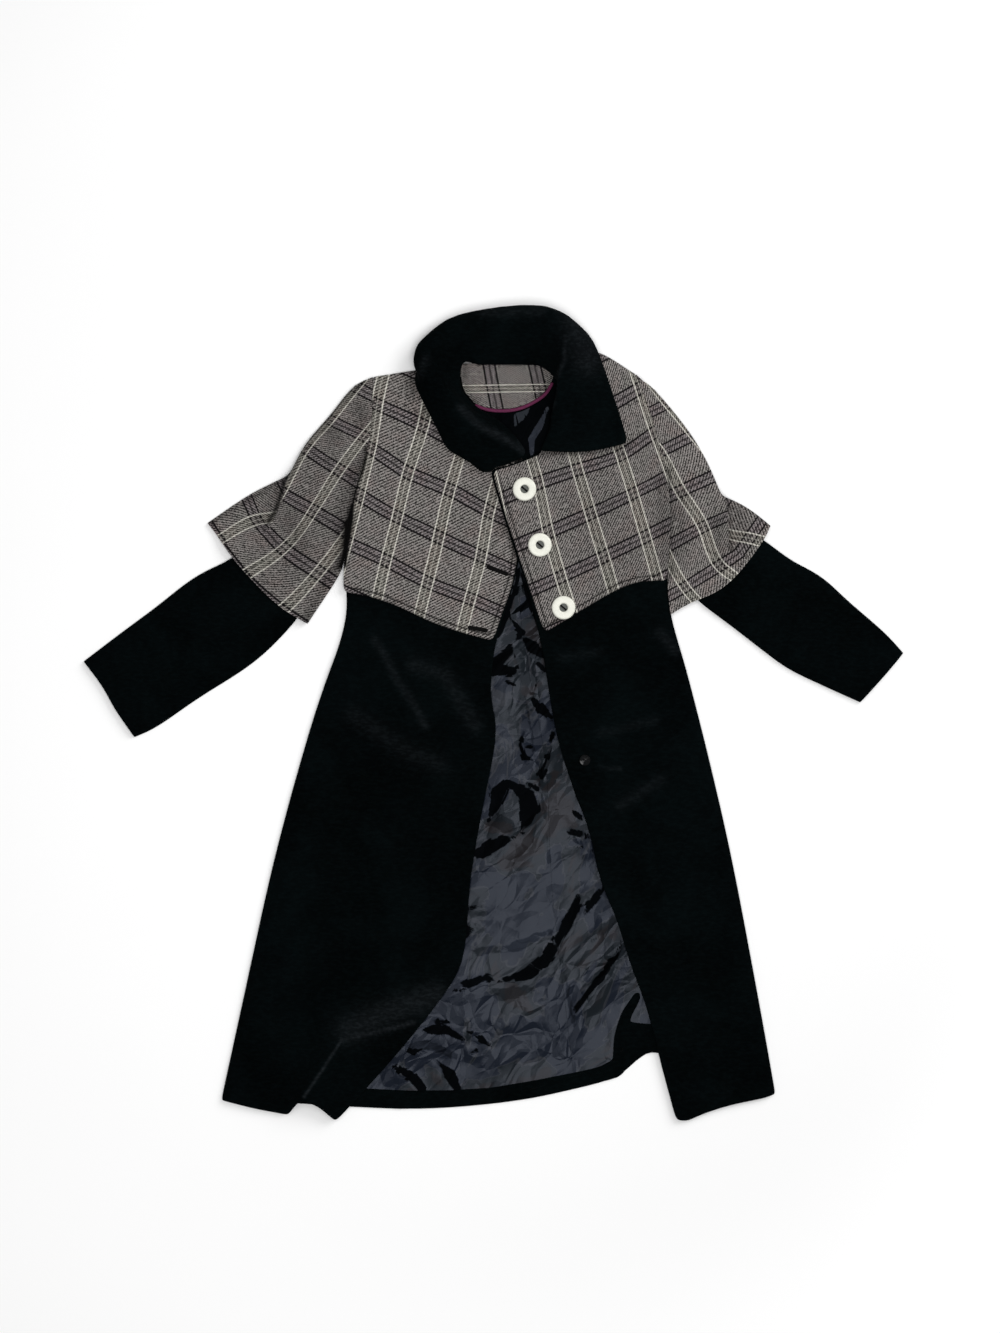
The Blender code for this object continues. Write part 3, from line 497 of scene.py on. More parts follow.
class CoatSizes(bpy.types.PropertyGroup):
    """Sizes of the coat's cloth and sewing."""

    velvet_wall: FloatProperty(
        name="Velvet wall", description="Thickness of the velvet",
        default=0.0022, unit="LENGTH")
    tweed_wall: FloatProperty(
        name="Tweed wall", description="Thickness of the tweed",
        default=0.002, unit="LENGTH")
    sleeve_wall: FloatProperty(
        name="Sleeve wall", description="Thickness of a sleeve's wall",
        default=0.0012, unit="LENGTH")
    plaid_pitch: FloatProperty(
        name="Plaid pitch", description="Distance from one pair of lines to the next",
        default=0.0665, unit="LENGTH")
    stitch_inset: FloatProperty(
        name="Stitch inset", description="Distance of the topstitching from the edge",
        default=0.0070, unit="LENGTH")
    stitch_pitch: FloatProperty(
        name="Stitch pitch", description="Distance from one stitch to the next",
        default=0.0036, unit="LENGTH")


class CoatColours(bpy.types.PropertyGroup):
    """Colours of the coat's cloth and buttons."""

    velvet: FloatVectorProperty(
        name="Velvet", description="Pile of the velvet", subtype="COLOR", size=3,
        default=(0.0008, 0.0016, 0.0018))
    # Colour of the highlight painted on the velvet's folds and edges
    painted_highlight: FloatVectorProperty(
        name="Velvet highlight", description="Highlight painted on the velvet's folds and edges", subtype="COLOR", size=3,
        default=(0.009, 0.010, 0.0115))
    tweed_dark: FloatVectorProperty(
        name="Dark yarn", description="Dark yarn of the tweed", subtype="COLOR", size=3,
        default=(0.004, 0.0035, 0.0035))
    tweed_light: FloatVectorProperty(
        name="Light yarn", description="Light yarn of the tweed", subtype="COLOR", size=3,
        default=(0.29, 0.27, 0.258))
    plaid_white: FloatVectorProperty(
        name="White line", description="White lines of the plaid", subtype="COLOR", size=3,
        default=(0.66, 0.64, 0.57))
    plaid_black: FloatVectorProperty(
        name="Black line", description="Black lines of the plaid", subtype="COLOR", size=3,
        default=(0.005, 0.004, 0.005))
    satin: FloatVectorProperty(
        name="Satin", description="Lining of the back", subtype="COLOR", size=3,
        default=(0.0075, 0.0099, 0.0160))
    satin_green: FloatVectorProperty(
        name="Green satin", description="Lining where it looks green", subtype="COLOR", size=3,
        default=(0.0082, 0.0106, 0.0132))
    satin_brown: FloatVectorProperty(
        name="Brown satin", description="Lining where it looks brown", subtype="COLOR", size=3,
        default=(0.0112, 0.0102, 0.0112))
    piping: FloatVectorProperty(
        name="Piping", description="Cord at the neck", subtype="COLOR", size=3,
        default=(0.118, 0.021, 0.062))
    ring: FloatVectorProperty(
        name="Button", description="Large buttons", subtype="COLOR", size=3,
        default=(0.66, 0.66, 0.585))


def pattern_origin():
    """World place of the plan's origin, from the place of the small button."""
    low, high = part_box("button_small")
    x, drop = SMALL_BUTTON_PLAN
    return np.array([0.5 * (low[0] + high[0]) - x * MM, 0.5 * (low[1] + high[1]) + drop * MM])


NAPE = pattern_origin()

# Lines of topstitching, found while the panels are made
stitch_lines = {}


def plan_of(points):
    """Plan points in millimetres of points in space."""
    return np.column_stack([points[:, 0] - NAPE[0], NAPE[1] - points[:, 1]]) / MM


def world_of(place):
    """World x and y of a plan point."""
    return NAPE[0] + place[0] * MM, NAPE[1] - place[1] * MM


def smooth(value):
    """Ease from 0 to 1 as the value goes from 0 to 1."""
    value = np.clip(value, 0.0, 1.0)
    return value * value * (3.0 - 2.0 * value)


def fold_rise(plan, folds):
    """Height in millimetres that the folds add at each plan point."""
    rise = np.zeros(len(plan))
    for fold in folds:
        start = np.array(fold.start, dtype=float)
        way = np.subtract(fold.end, fold.start)
        offset = plan - start
        share = np.clip(offset @ way / (way @ way), 0.0, 1.0)
        gap = offset - share[:, None] * way
        away = np.linalg.norm(gap, axis=1)
        side = (gap[:, 0] * way[1] - gap[:, 1] * way[0]) / (away * np.linalg.norm(way) + 1e-9)
        width = 0.5 * (1.0 + side) * fold.left_width + 0.5 * (1.0 - side) * fold.right_width
        crest = fold.rise_start + (fold.rise_end - fold.rise_start) * share
        rise = np.maximum(rise, crest * np.exp(-(away / width) ** 2))
    return rise


def creases_as_folds(creases):
    """Folds whose steep side is the dark crease and whose other side falls off gently."""
    folds = []
    for crease in creases:
        for first, last in zip(crease[:-1], crease[1:]):
            way = np.subtract(last, first)[:2].astype(float)
            right = np.array([-way[1], way[0]]) / np.linalg.norm(way)
            half_width = 0.5 * (first[2] + last[2])
            width = STEEP_SIDE * half_width
            rise = STEEPNESS * width
            shift = CREST_SHARE * width * right
            start, end = first[:2] + shift, last[:2] + shift
            folds.append(Fold(start, end, rise, rise, width, GENTLE_SIDE * half_width))
    return folds


def crease_distance(plan, creases):
    """Distance in millimetres of plan points to the edge of the nearest crease, below 0 inside it."""
    best = np.full(len(plan), CREASE_REACH)
    for crease in creases:
        for first, last in zip(crease[:-1], crease[1:]):
            way = np.subtract(last, first).astype(float)
            offset = plan - first[:2]
            share = np.clip(offset @ way[:2] / (way[:2] @ way[:2]), 0.0, 1.0)
            away = np.linalg.norm(offset - share[:, None] * way[:2], axis=1)
            best = np.minimum(best, away - first[2] - share * way[2])
    return best


def line_distance(plan, points):
    """Distance in millimetres of plan points to a line through the given points, and the way from it."""
    best = np.full(len(plan), np.inf)
    away = np.zeros((len(plan), 2))
    for start, end in zip(points[:-1], points[1:]):
        way = np.subtract(end, start).astype(float)
        offset = plan - start
        share = np.clip(offset @ way / (way @ way), 0.0, 1.0)
        gap = offset - share[:, None] * way
        length = np.linalg.norm(gap, axis=1)
        nearer = length < best
        best[nearer] = length[nearer]
        away[nearer] = gap[nearer]
    return best, away


def inside(plan, corners):
    """Whether plan points lie inside a shape given by its corners."""
    within = np.zeros(len(plan), dtype=bool)
    for (x0, drop0), (x1, drop1) in zip(corners, corners[1:] + corners[:1]):
        crosses = (drop0 > plan[:, 1]) != (drop1 > plan[:, 1])
        reach = x0 + (plan[:, 1] - drop0) * (x1 - x0) / (drop1 - drop0 + 1e-9)
        within ^= crosses & (plan[:, 0] < reach)
    return within


def only(*pieces):
    """Select these pieces alone, the last one active."""
    bpy.ops.object.select_all(action="DESELECT")
    for piece in pieces:
        piece.select_set(True)
    bpy.context.view_layer.objects.active = pieces[-1]


def edit_all(piece):
    """Start to edit a piece, with all of it selected."""
    only(piece)
    bpy.ops.object.mode_set(mode="EDIT")
    bpy.ops.mesh.select_all(action="SELECT")


def end_edit():
    bpy.ops.object.mode_set(mode="OBJECT")


def shade_round(piece):
    """Shade a piece smooth all over."""
    only(piece)
    bpy.ops.object.shade_smooth()


def points_of(piece):
    """The piece's points as an array."""
    values = np.empty(3 * len(piece.data.vertices))
    piece.data.vertices.foreach_get("co", values)
    return values.reshape(-1, 3)


def set_points(piece, points):
    piece.data.vertices.foreach_set("co", points.ravel())
    piece.data.update()


def pick(piece, chosen):
    """Select the chosen points of a piece, in object mode."""
    mesh = piece.data
    mesh.polygons.foreach_set("select", np.zeros(len(mesh.polygons), dtype=bool))
    mesh.edges.foreach_set("select", np.zeros(len(mesh.edges), dtype=bool))
    mesh.vertices.foreach_set("select", chosen)


def apply_modifier(piece, kind, **settings):
    """Add a modifier with these settings and apply it."""
    modifier = piece.modifiers.new(kind.title(), kind)
    for name, value in settings.items():
        setattr(modifier, name, value)
    only(piece)
    bpy.ops.object.modifier_apply(modifier=modifier.name)


def copy_of(node, name):
    """A new piece with a merged copy of a frame node's mesh."""
    piece = bpy.data.objects.new(name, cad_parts[node].data.copy())
    piece.data.name = name
    piece.data.materials.clear()
    bpy.context.scene.collection.objects.link(piece)
    edit_all(piece)
    bpy.ops.mesh.remove_doubles(threshold=MERGE)
    end_edit()
    if piece.data.has_custom_normals:
        bpy.ops.mesh.customdata_custom_splitnormals_clear()
    return piece


def quads(piece):
    """Join the triangles of a copied piece back into quads."""
    edit_all(piece)
    bpy.ops.mesh.tris_convert_to_quads(face_threshold=QUAD_BEND, shape_threshold=QUAD_SHAPE)
    end_edit()


def side_of(node, name, facing):
    """A new piece with one side of a flat-laid panel: facing 1 is its upper side, -1 its under side."""
    piece = copy_of(node, name)
    mesh = piece.data
    normals = np.empty(3 * len(mesh.polygons))
    mesh.polygons.foreach_get("normal", normals)
    away = facing * normals.reshape(-1, 3)[:, 2] < WALL_SLOPE
    pick(piece, np.zeros(len(mesh.vertices), dtype=bool))
    mesh.polygons.foreach_set("select", away)
    bpy.context.tool_settings.mesh_select_mode = (False, False, True)
    bpy.ops.object.mode_set(mode="EDIT")
    bpy.ops.mesh.delete(type="FACE")
    end_edit()
    bpy.context.tool_settings.mesh_select_mode = (True, False, False)
    quads(piece)
    return piece


def round_copy(node, name, swell):
    """A new piece with a smoothed copy of a whole frame node, swelled along its normals."""
    piece = copy_of(node, name)
    quads(piece)
    apply_modifier(piece, "SUBSURF", levels=2, render_levels=2)
    apply_modifier(piece, "DISPLACE", strength=swell, mid_level=0.0, direction="NORMAL")
    return piece


def outline(piece):
    """Ends of the edges on a sheet's outline, as pairs of point numbers."""
    shape = bmesh.new()
    shape.from_mesh(piece.data)
    pairs = [[vertex.index for vertex in edge.verts] for edge in shape.edges if edge.is_boundary]
    shape.free()
    return np.array(pairs)


def keep_corners(piece):
    """Mark the corners of a sheet's outline, so that smoothing rounds them only a little."""
    shape = bmesh.new()
    shape.from_mesh(piece.data)
    crease = shape.verts.layers.float.new("crease_vert")
    for vertex in shape.verts:
        rim = [edge for edge in vertex.link_edges if edge.is_boundary]
        if len(rim) != 2:
            continue
        first, second = [edge.other_vert(vertex).co - vertex.co for edge in rim]
        if math.pi - first.angle(second, math.pi) > CORNER_ANGLE:
            vertex[crease] = CORNER_CREASE
    shape.to_mesh(piece.data)
    shape.free()


def edge_rows(piece):
    """Rows of points along a sheet's outline, for its turned edge and its stitched groove."""
    edit_all(piece)
    for step in EDGE_ROWS:
        bpy.ops.mesh.inset(thickness=step * MM, use_boundary=True, use_even_offset=True)
    end_edit()


def refine(piece, levels):
    """Smooth a sheet and split its faces."""
    keep_corners(piece)
    apply_modifier(piece, "SUBSURF", levels=levels, render_levels=levels, boundary_smooth="PRESERVE_CORNERS")


def edge_distance(piece, stitched):
    """Distance in millimetres of each point to the sheet's outline, and whether that edge is stitched."""
    plan = plan_of(points_of(piece))
    pairs = outline(piece)
    starts, ends = plan[pairs[:, 0]], plan[pairs[:, 1]]
    rim = np.vstack([starts + share * (ends - starts) for share in RIM_STEPS])
    away = np.empty(len(plan))
    nearest = np.empty(len(plan), dtype=int)
    for first in range(0, len(plan), BATCH):
        part = slice(first, first + BATCH)
        gaps = np.linalg.norm(plan[part, None] - rim[None], axis=2)
        nearest[part] = gaps.argmin(axis=1)
        away[part] = gaps.min(axis=1)
    return away, stitched(rim)[nearest]


def edge_line(piece, sewn, inset):
    """World places of the topstitching: the sewn part of a sheet's outline, moved inwards."""
    shape = bmesh.new()
    shape.from_mesh(piece.data)
    inwards = {}
    follows = {}
    for edge in shape.edges:
        if not edge.is_boundary:
            continue
        middle = 0.5 * (edge.verts[0].co + edge.verts[1].co)
        if not sewn(plan_of(np.array([vertex.co for vertex in edge.verts]))):
            continue
        along = (edge.verts[1].co - edge.verts[0].co).xy.normalized()
        way = (edge.link_faces[0].calc_center_median() - middle).xy
        way = (way - along * way.dot(along)).normalized()
        for vertex, other in (edge.verts, reversed(edge.verts)):
            inwards.setdefault(vertex.index, []).append(way)
            follows.setdefault(vertex.index, []).append(other.index)
    places = {index: shape_point(shape, index) for index in follows}
    ends = [index for index, others in follows.items() if len(others) == 1]
    line = [ends[0]]
    while True:
        ahead = [index for index in follows[line[-1]] if index not in line]
        if not ahead:
            break
        line.append(ahead[0])
    shape.free()
    moved = []
    for index in line:
        way = sum(inwards[index], Vector((0.0, 0.0))).normalized()
        moved.append(places[index] + np.array(way) * inset)
    return np.array(moved)


def shape_point(shape, index):
    """World x and y of a point of an edit mesh."""
    shape.verts.ensure_lookup_table()
    return np.array(shape.verts[index].co.xy)


def turn_edges(piece, stitched, inset):
    """Turn a sheet's edge down, and sink a groove under the topstitching where the edge is stitched."""
    points = points_of(piece)
    away, sewn = edge_distance(piece, stitched)
    turn = 1.0 - np.clip(away / RIM_WIDTH, 0.0, 1.0)
    lower = RIM_DROP * (1.0 - np.sqrt(1.0 - turn ** 2))
    groove = GROOVE_DEPTH * np.exp(-((away - inset / MM) / GROOVE_WIDTH) ** 2)
    points[:, 2] -= (lower + np.where(sewn, groove, 0.0)) * MM
    set_points(piece, points)


def soften(piece):
    """Gentle unevenness of cloth that lies loose, the same for all layers so that they keep their order."""
    cloud = bpy.data.textures.get("cloth_lie") or bpy.data.textures.new("cloth_lie", "CLOUDS")
    cloud.noise_scale = LIE_SIZE
    cloud.noise_depth = 1
    apply_modifier(piece, "DISPLACE", texture=cloud, texture_coords="LOCAL", direction="Z",
                   strength=LIE_HEIGHT, mid_level=0.0)


def wall(piece, thickness):
    """Give a sheet its wall, inwards from its outer side."""
    apply_modifier(piece, "SOLIDIFY", thickness=thickness, offset=-1.0, use_rim=True)
    only(piece)
    bpy.ops.object.shade_smooth_by_angle(angle=WALL_ANGLE)


def grain(plan, plaid):
    """Cloth coordinates in pitches at plan points: a smooth map through the plaid's crossings."""
    known = np.array([(row.x, row.drop) for row in plaid], dtype=float)
    cloth = np.array([(row.across, row.along) for row in plaid], dtype=float)

    def pull(distance):
        return distance ** 2 * np.log(distance + 1e-6)

    count = len(known)
    flat = np.column_stack([np.ones(count), known])
    system = np.zeros((count + 3, count + 3))
    apart = np.linalg.norm(known[:, None] - known[None], axis=2)
    system[:count, :count] = pull(apart) + GRAIN_EASE * np.eye(count)
    system[:count, count:] = flat
    system[count:, :count] = flat.T
    weights = np.linalg.lstsq(system, np.vstack([cloth, np.zeros((3, 2))]), rcond=None)[0]
    pulls = pull(np.linalg.norm(plan[:, None] - known[None], axis=2))
    return np.column_stack([pulls, np.ones(len(plan)), plan]) @ weights


def cloth_map(piece, plaid, pitch, lobe=None, lobe_plaid=None):
    """Lay the plaid's grain on a piece, with a grain of its own in a lobe behind a fold."""
    mesh = piece.data
    plan = plan_of(points_of(piece))
    corners = np.empty(len(mesh.loops), dtype=int)
    mesh.loops.foreach_get("vertex_index", corners)
    places = grain(plan, plaid)[corners]
    if lobe:
        centres = np.empty(3 * len(mesh.polygons))
        mesh.polygons.foreach_get("center", centres)
        counts = np.empty(len(mesh.polygons), dtype=int)
        mesh.polygons.foreach_get("loop_total", counts)
        behind = np.repeat(inside(plan_of(centres.reshape(-1, 3)), lobe), counts)
        places[behind] = grain(plan, lobe_plaid)[corners[behind]]
    layer = mesh.uv_layers.new(name="cloth")
    layer.data.foreach_set("uv", (places * pitch).ravel())


def soft_marks(plan, lines):
    """Strength of soft lines at plan points."""
    amount = np.zeros(len(plan))
    for line in lines:
        away = line_distance(plan, line.points)[0]
        amount = np.maximum(amount, line.strength * np.exp(-(away / line.width) ** 2))
    return amount


def mark(piece, name, amount):
    """Keep a value for each point of a piece, for its material."""
    layer = piece.data.attributes.new(name, "FLOAT", "POINT")
    layer.data.foreach_set("value", amount)


def paint_highlights(piece, lines):
    """Mark on a velvet piece where a highlight is painted on its pile, along its folds and edges."""
    mark(piece, "painted_highlight", soft_marks(plan_of(points_of(piece)), lines))


def shade(piece, lines, more=0.0):
    """Mark on a tweed piece how dark its folds and edges are."""
    mark(piece, "shade", np.maximum(soft_marks(plan_of(points_of(piece)), lines), more))


def lie_on_floor(piece):
    """Lift what would sink into the floor."""
    points = points_of(piece)
    points[:, 2] = np.maximum(points[:, 2], 0.0)
    set_points(piece, points)


def belongs(piece, look, slot, *nodes):
    """Take a finish, ride on the coat and stand for these nodes."""
    if look:
        piece.data.materials.append(finishes()[look])
    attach(piece, "root")
    if nodes:
        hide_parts(*nodes)


def fill(tree, made, sockets):
    """Set or link the sockets of a node, given by their names or numbers."""
    for name, value in sockets.items():
        if isinstance(value, bpy.types.NodeSocket):
            tree.links.new(value, made.inputs[name])
        else:
            made.inputs[name].default_value = value


def node(tree, kind, sockets=None, **settings):
    """A new shader node with its settings, and its sockets set or linked."""
    made = tree.nodes.new(kind)
    for name, value in settings.items():
        setattr(made, name, value)
    fill(tree, made, sockets or {})
    return made


def sums(tree, operation, first, second=0.0, third=0.0):
    """Output of a math node."""
    return node(tree, "ShaderNodeMath", {0: first, 1: second, 2: third}, operation=operation).outputs[0]


def vectors(tree, operation, first, second):
    """Output of a vector math node on two vectors."""
    return node(tree, "ShaderNodeVectorMath", {0: first, 1: second}, operation=operation).outputs[0]


def scaled(tree, vector, factor):
    """A vector or a colour times a value."""
    return node(tree, "ShaderNodeVectorMath", {0: vector, "Scale": factor}, operation="SCALE").outputs[0]


def marked(tree, name):
    """The value that a piece's points keep under this name."""
    return node(tree, "ShaderNodeAttribute", attribute_name=name).outputs["Fac"]


def object_place(tree):
    """Object coordinates."""
    return node(tree, "ShaderNodeTexCoord").outputs["Object"]


def ramp(tree, value, low, high, to_low=0.0, to_high=1.0):
    """Output that eases from to_low to to_high as the value goes from low to high."""
    sockets = {"Value": value, "From Min": low, "From Max": high, "To Min": to_low, "To Max": to_high}
    return node(tree, "ShaderNodeMapRange", sockets, interpolation_type="SMOOTHSTEP").outputs["Result"]


def mixed(tree, share, first, second, blend="MIX"):
    """Output of a colour mix."""
    sockets = {MIX_SHARE: share, MIX_FIRST: first, MIX_SECOND: second}
    return node(tree, "ShaderNodeMix", sockets, data_type="RGBA", blend_type=blend).outputs[MIX_RESULT]


def noise(tree, place, scale, detail=2.0, roughness=0.5, distortion=0.0):
    """Value of a noise texture."""
    sockets = {"Vector": place, "Scale": scale, "Detail": detail, "Roughness": roughness,
               "Distortion": distortion}
    return node(tree, "ShaderNodeTexNoise", sockets).outputs["Fac"]


def new_group(name, takes, gives):
    """A shader node group with its ends: takes and gives map socket names to their kinds."""
    tree = bpy.data.node_groups.new(name, "ShaderNodeTree")
    for socket, kind in takes.items():
        tree.interface.new_socket(name=socket, in_out="INPUT", socket_type=kind)
    for socket, kind in gives.items():
        tree.interface.new_socket(name=socket, in_out="OUTPUT", socket_type=kind)
    return tree, tree.nodes.new("NodeGroupInput"), tree.nodes.new("NodeGroupOutput")


def place_group(tree, group, sockets):
    """Place a node group in a tree."""
    made = tree.nodes.new("ShaderNodeGroup")
    made.node_tree = group
    fill(tree, made, sockets)
    return made.outputs


def stripe_group():
    """Pairs of lines at an even pitch: the two lines, the faint line between, and the space between."""
    takes = {"Place": VALUE, "Pitch": VALUE, "Half gap": VALUE, "Line": VALUE}
    gives = {"Lines": VALUE, "Middle": VALUE, "Between": VALUE}
    tree, start, end = new_group("Stripe pair", takes, gives)
    half = sums(tree, "MULTIPLY", start.outputs["Pitch"], 0.5)
    under = sums(tree, "MULTIPLY", half, -1.0)
    centred = sums(tree, "WRAP", start.outputs["Place"], half, under)
    away = sums(tree, "ABSOLUTE", centred)
    line = start.outputs["Line"]
    gap = start.outputs["Half gap"]
    inner = sums(tree, "MULTIPLY", line, 0.25)
    outer = sums(tree, "MULTIPLY", line, 0.75)
    off = sums(tree, "ABSOLUTE", sums(tree, "SUBTRACT", away, gap))
    tree.links.new(ramp(tree, off, outer, inner), end.inputs["Lines"])
    tree.links.new(ramp(tree, away, outer, inner), end.inputs["Middle"])
    tree.links.new(ramp(tree, away, gap, sums(tree, "MULTIPLY", gap, 0.8)), end.inputs["Between"])
    return tree


def weave_group():
    """Two-and-two twill of light and dark yarn with uneven flecks."""
    takes = {"Cloth": VECTOR, "Yarn": VALUE}
    gives = {"Tone": VALUE, "Height": VALUE, "Drift": VALUE}
    tree, start, end = new_group("Tweed weave", takes, gives)
    cloth = start.outputs["Cloth"]
    yarns = sums(tree, "DIVIDE", 1.0, start.outputs["Yarn"])
    apart = node(tree, "ShaderNodeSeparateXYZ", {0: scaled(tree, cloth, yarns)})
    across, along = apart.outputs["X"], apart.outputs["Y"]
    warp = sums(tree, "FLOOR", across)
    weft = sums(tree, "FLOOR", along)
    diagonal = sums(tree, "FRACT", sums(tree, "MULTIPLY", sums(tree, "ADD", warp, weft), 0.25))
    over = sums(tree, "GREATER_THAN", diagonal, 0.45)
    cell = node(tree, "ShaderNodeCombineXYZ", {"X": warp, "Y": weft}).outputs[0]
    speck = node(tree, "ShaderNodeTexWhiteNoise", {"Vector": cell}).outputs["Value"]
    fleck = ramp(tree, noise(tree, cloth, 400.0, 1.0), 0.38, 0.62)
    slub = ramp(tree, noise(tree, cloth, 170.0, 2.0), 0.32, 0.68)
    tone = sums(tree, "MULTIPLY_ADD", over, 0.36, sums(tree, "MULTIPLY", speck, 0.16))
    tone = sums(tree, "MULTIPLY_ADD", fleck, 0.32, tone)
    tone = sums(tree, "MULTIPLY_ADD", slub, 0.16, tone)
    tree.links.new(ramp(tree, tone, 0.23, 0.81), end.inputs["Tone"])
    round_warp = sums(tree, "SINE", sums(tree, "MULTIPLY", sums(tree, "FRACT", across), math.pi))
    round_weft = sums(tree, "SINE", sums(tree, "MULTIPLY", sums(tree, "FRACT", along), math.pi))
    ribs = sums(tree, "MULTIPLY", round_warp, round_weft)
    height = sums(tree, "MULTIPLY_ADD", over, 0.6, sums(tree, "MULTIPLY", ribs, 0.4))
    tree.links.new(sums(tree, "MULTIPLY_ADD", fleck, 0.3, height), end.inputs["Height"])
    tree.links.new(noise(tree, cloth, 26.0, 3.0, 0.6), end.inputs["Drift"])
    return tree


def nap_group():
    """Pile of velvet: cloudy marks where it is brushed, short strokes across and fine fibres, with a
    highlight painted where a piece marks one.
    """
    takes = {"Place": VECTOR, "Colour": COLOUR, "Highlight colour": COLOUR, "Painted highlight": VALUE}
    gives = {"Colour": COLOUR, "Height": VALUE}
    tree, start, end = new_group("Velvet nap", takes, gives)
    place = start.outputs["Place"]
    brushed = ramp(tree, noise(tree, place, 9.0, 3.0, 0.55, 0.6), 0.3, 0.75)
    strokes = node(tree, "ShaderNodeMapping", {"Vector": place, "Scale": (0.45, 1.0, 1.0)}).outputs[0]
    stroke = ramp(tree, noise(tree, strokes, 260.0, 2.0, 0.6), 0.35, 0.75)
    fibre = noise(tree, place, 1500.0, 1.0)
    lift = sums(tree, "MULTIPLY_ADD", brushed, 0.8, sums(tree, "MULTIPLY", stroke, 0.65))
    lift = sums(tree, "MULTIPLY_ADD", fibre, 0.5, lift)
    gain = sums(tree, "ADD", lift, 0.25)
    tone = scaled(tree, start.outputs["Colour"], gain)
    # Painted highlight: the marked lines are lightened, broken up by the strokes
    broken = sums(tree, "MULTIPLY", start.outputs["Painted highlight"], ramp(tree, stroke, 0.0, 1.0, 0.55, 1.2))
    light = scaled(tree, start.outputs["Highlight colour"], broken)
    tree.links.new(vectors(tree, "ADD", tone, light), end.inputs["Colour"])
    height = sums(tree, "MULTIPLY_ADD", fibre, 0.5, sums(tree, "MULTIPLY", stroke, 0.5))
    tree.links.new(height, end.inputs["Height"])
    return tree


def thread_group():
    """Twisted thread: light and dark strands that run slantwise."""
    takes = {"Place": VECTOR, "Turns": VALUE}
    gives = {"Tone": VALUE, "Height": VALUE}
    tree, start, end = new_group("Thread twist", takes, gives)
    sockets = {"Vector": start.outputs["Place"], "Scale": start.outputs["Turns"], "Distortion": 0.6,
               "Detail": 1.0}
    strand = node(tree, "ShaderNodeTexWave", sockets, bands_direction="DIAGONAL").outputs["Fac"]
    tree.links.new(ramp(tree, strand, 0.0, 1.0, 0.65, 1.15), end.inputs["Tone"])
    tree.links.new(strand, end.inputs["Height"])
    return tree


def new_material(name, **constants):
    """A material with its shader: constants go on the shader's own sockets."""
    material = bpy.data.materials.new(name)
    material.use_nodes = True
    tree = material.node_tree
    shader = tree.nodes["Principled BSDF"]
    for socket, value in constants.items():
        shader.inputs[socket.replace("_", " ")].default_value = value
    return material, tree, shader


def bump(tree, shader, height, strength, distance):
    """Raise the shader's surface by a height."""
    raised = node(tree, "ShaderNodeBump", {"Height": height, "Strength": strength, "Distance": distance})
    tree.links.new(raised.outputs["Normal"], shader.inputs["Normal"])


def opaque(colour):
    return (*colour, 1.0)


def plaid_stripes(tree, groups, cloth, pitch):
    """The plaid's white and black pairs, with lines that wander a little."""
    wander = node(tree, "ShaderNodeTexNoise", {"Vector": cloth, "Scale": 260.0, "Detail": 1.0})
    wander = vectors(tree, "SUBTRACT", wander.outputs["Color"], (0.5, 0.5, 0.5))
    wander = vectors(tree, "ADD", cloth, scaled(tree, wander, 0.0008))
    apart = node(tree, "ShaderNodeSeparateXYZ", {0: wander})
    stripes = []
    for axis, pair in (("X", WHITE_PAIR), ("Y", BLACK_PAIR)):
        sockets = {"Place": apart.outputs[axis], "Pitch": pitch, "Half gap": pair.half_gap, "Line": pair.line}
        stripes.append(place_group(tree, groups["stripe"], sockets))
    return stripes


def tweed_material(groups, sizes, colours):
    """Salt-and-pepper tweed with white pairs along it and black pairs across it."""
    material, tree, shader = new_material("tweed_plaid", Roughness=0.95, Specular_IOR_Level=0.05,
                                          Sheen_Weight=0.02)
    cloth = node(tree, "ShaderNodeUVMap", uv_map="cloth").outputs["UV"]
    weave = place_group(tree, groups["weave"], {"Cloth": cloth, "Yarn": YARN})
    white, black = plaid_stripes(tree, groups, cloth, sizes.plaid_pitch)
    tone = weave["Tone"]
    ground = mixed(tree, tone, opaque(colours.tweed_dark), opaque(colours.tweed_light))
    warm = ramp(tree, weave["Drift"], 0.45, 0.7)
    cool = ramp(tree, weave["Drift"], 0.5, 0.3)
    ground = mixed(tree, sums(tree, "MULTIPLY", warm, 0.5), ground, (1.0, 0.86, 0.84, 1.0), "MULTIPLY")
    ground = mixed(tree, sums(tree, "MULTIPLY", cool, 0.5), ground, (0.9, 0.95, 0.9, 1.0), "MULTIPLY")
    between = sums(tree, "MULTIPLY", black["Between"], 0.4)
    ground = mixed(tree, between, ground, (0.72, 0.64, 0.76, 1.0), "MULTIPLY")
    olive = sums(tree, "MULTIPLY", white["Between"], 0.35)
    ground = mixed(tree, olive, ground, (0.95, 1.0, 0.82, 1.0), "MULTIPLY")
    show = ramp(tree, tone, 0.1, 0.6, 0.45, 1.0)
    faint_dark = sums(tree, "MULTIPLY", black["Middle"], 0.75)
    dark = sums(tree, "MAXIMUM", black["Lines"], faint_dark)
    ground = mixed(tree, dark, ground, opaque(colours.plaid_black))
    faint_light = sums(tree, "MULTIPLY", white["Middle"], 0.3)
    light = sums(tree, "MAXIMUM", sums(tree, "MULTIPLY", white["Lines"], 0.9), faint_light)
    light = sums(tree, "MULTIPLY", light, show)
    ground = mixed(tree, light, ground, opaque(colours.plaid_white))
    ground = mixed(tree, marked(tree, "shade"), ground, (0.0015, 0.0013, 0.0013, 1.0))
    tree.links.new(ground, shader.inputs["Base Color"])
    height = sums(tree, "MULTIPLY_ADD", white["Lines"], 0.5, weave["Height"])
    bump(tree, shader, height, 0.7, 0.0006)
    return material


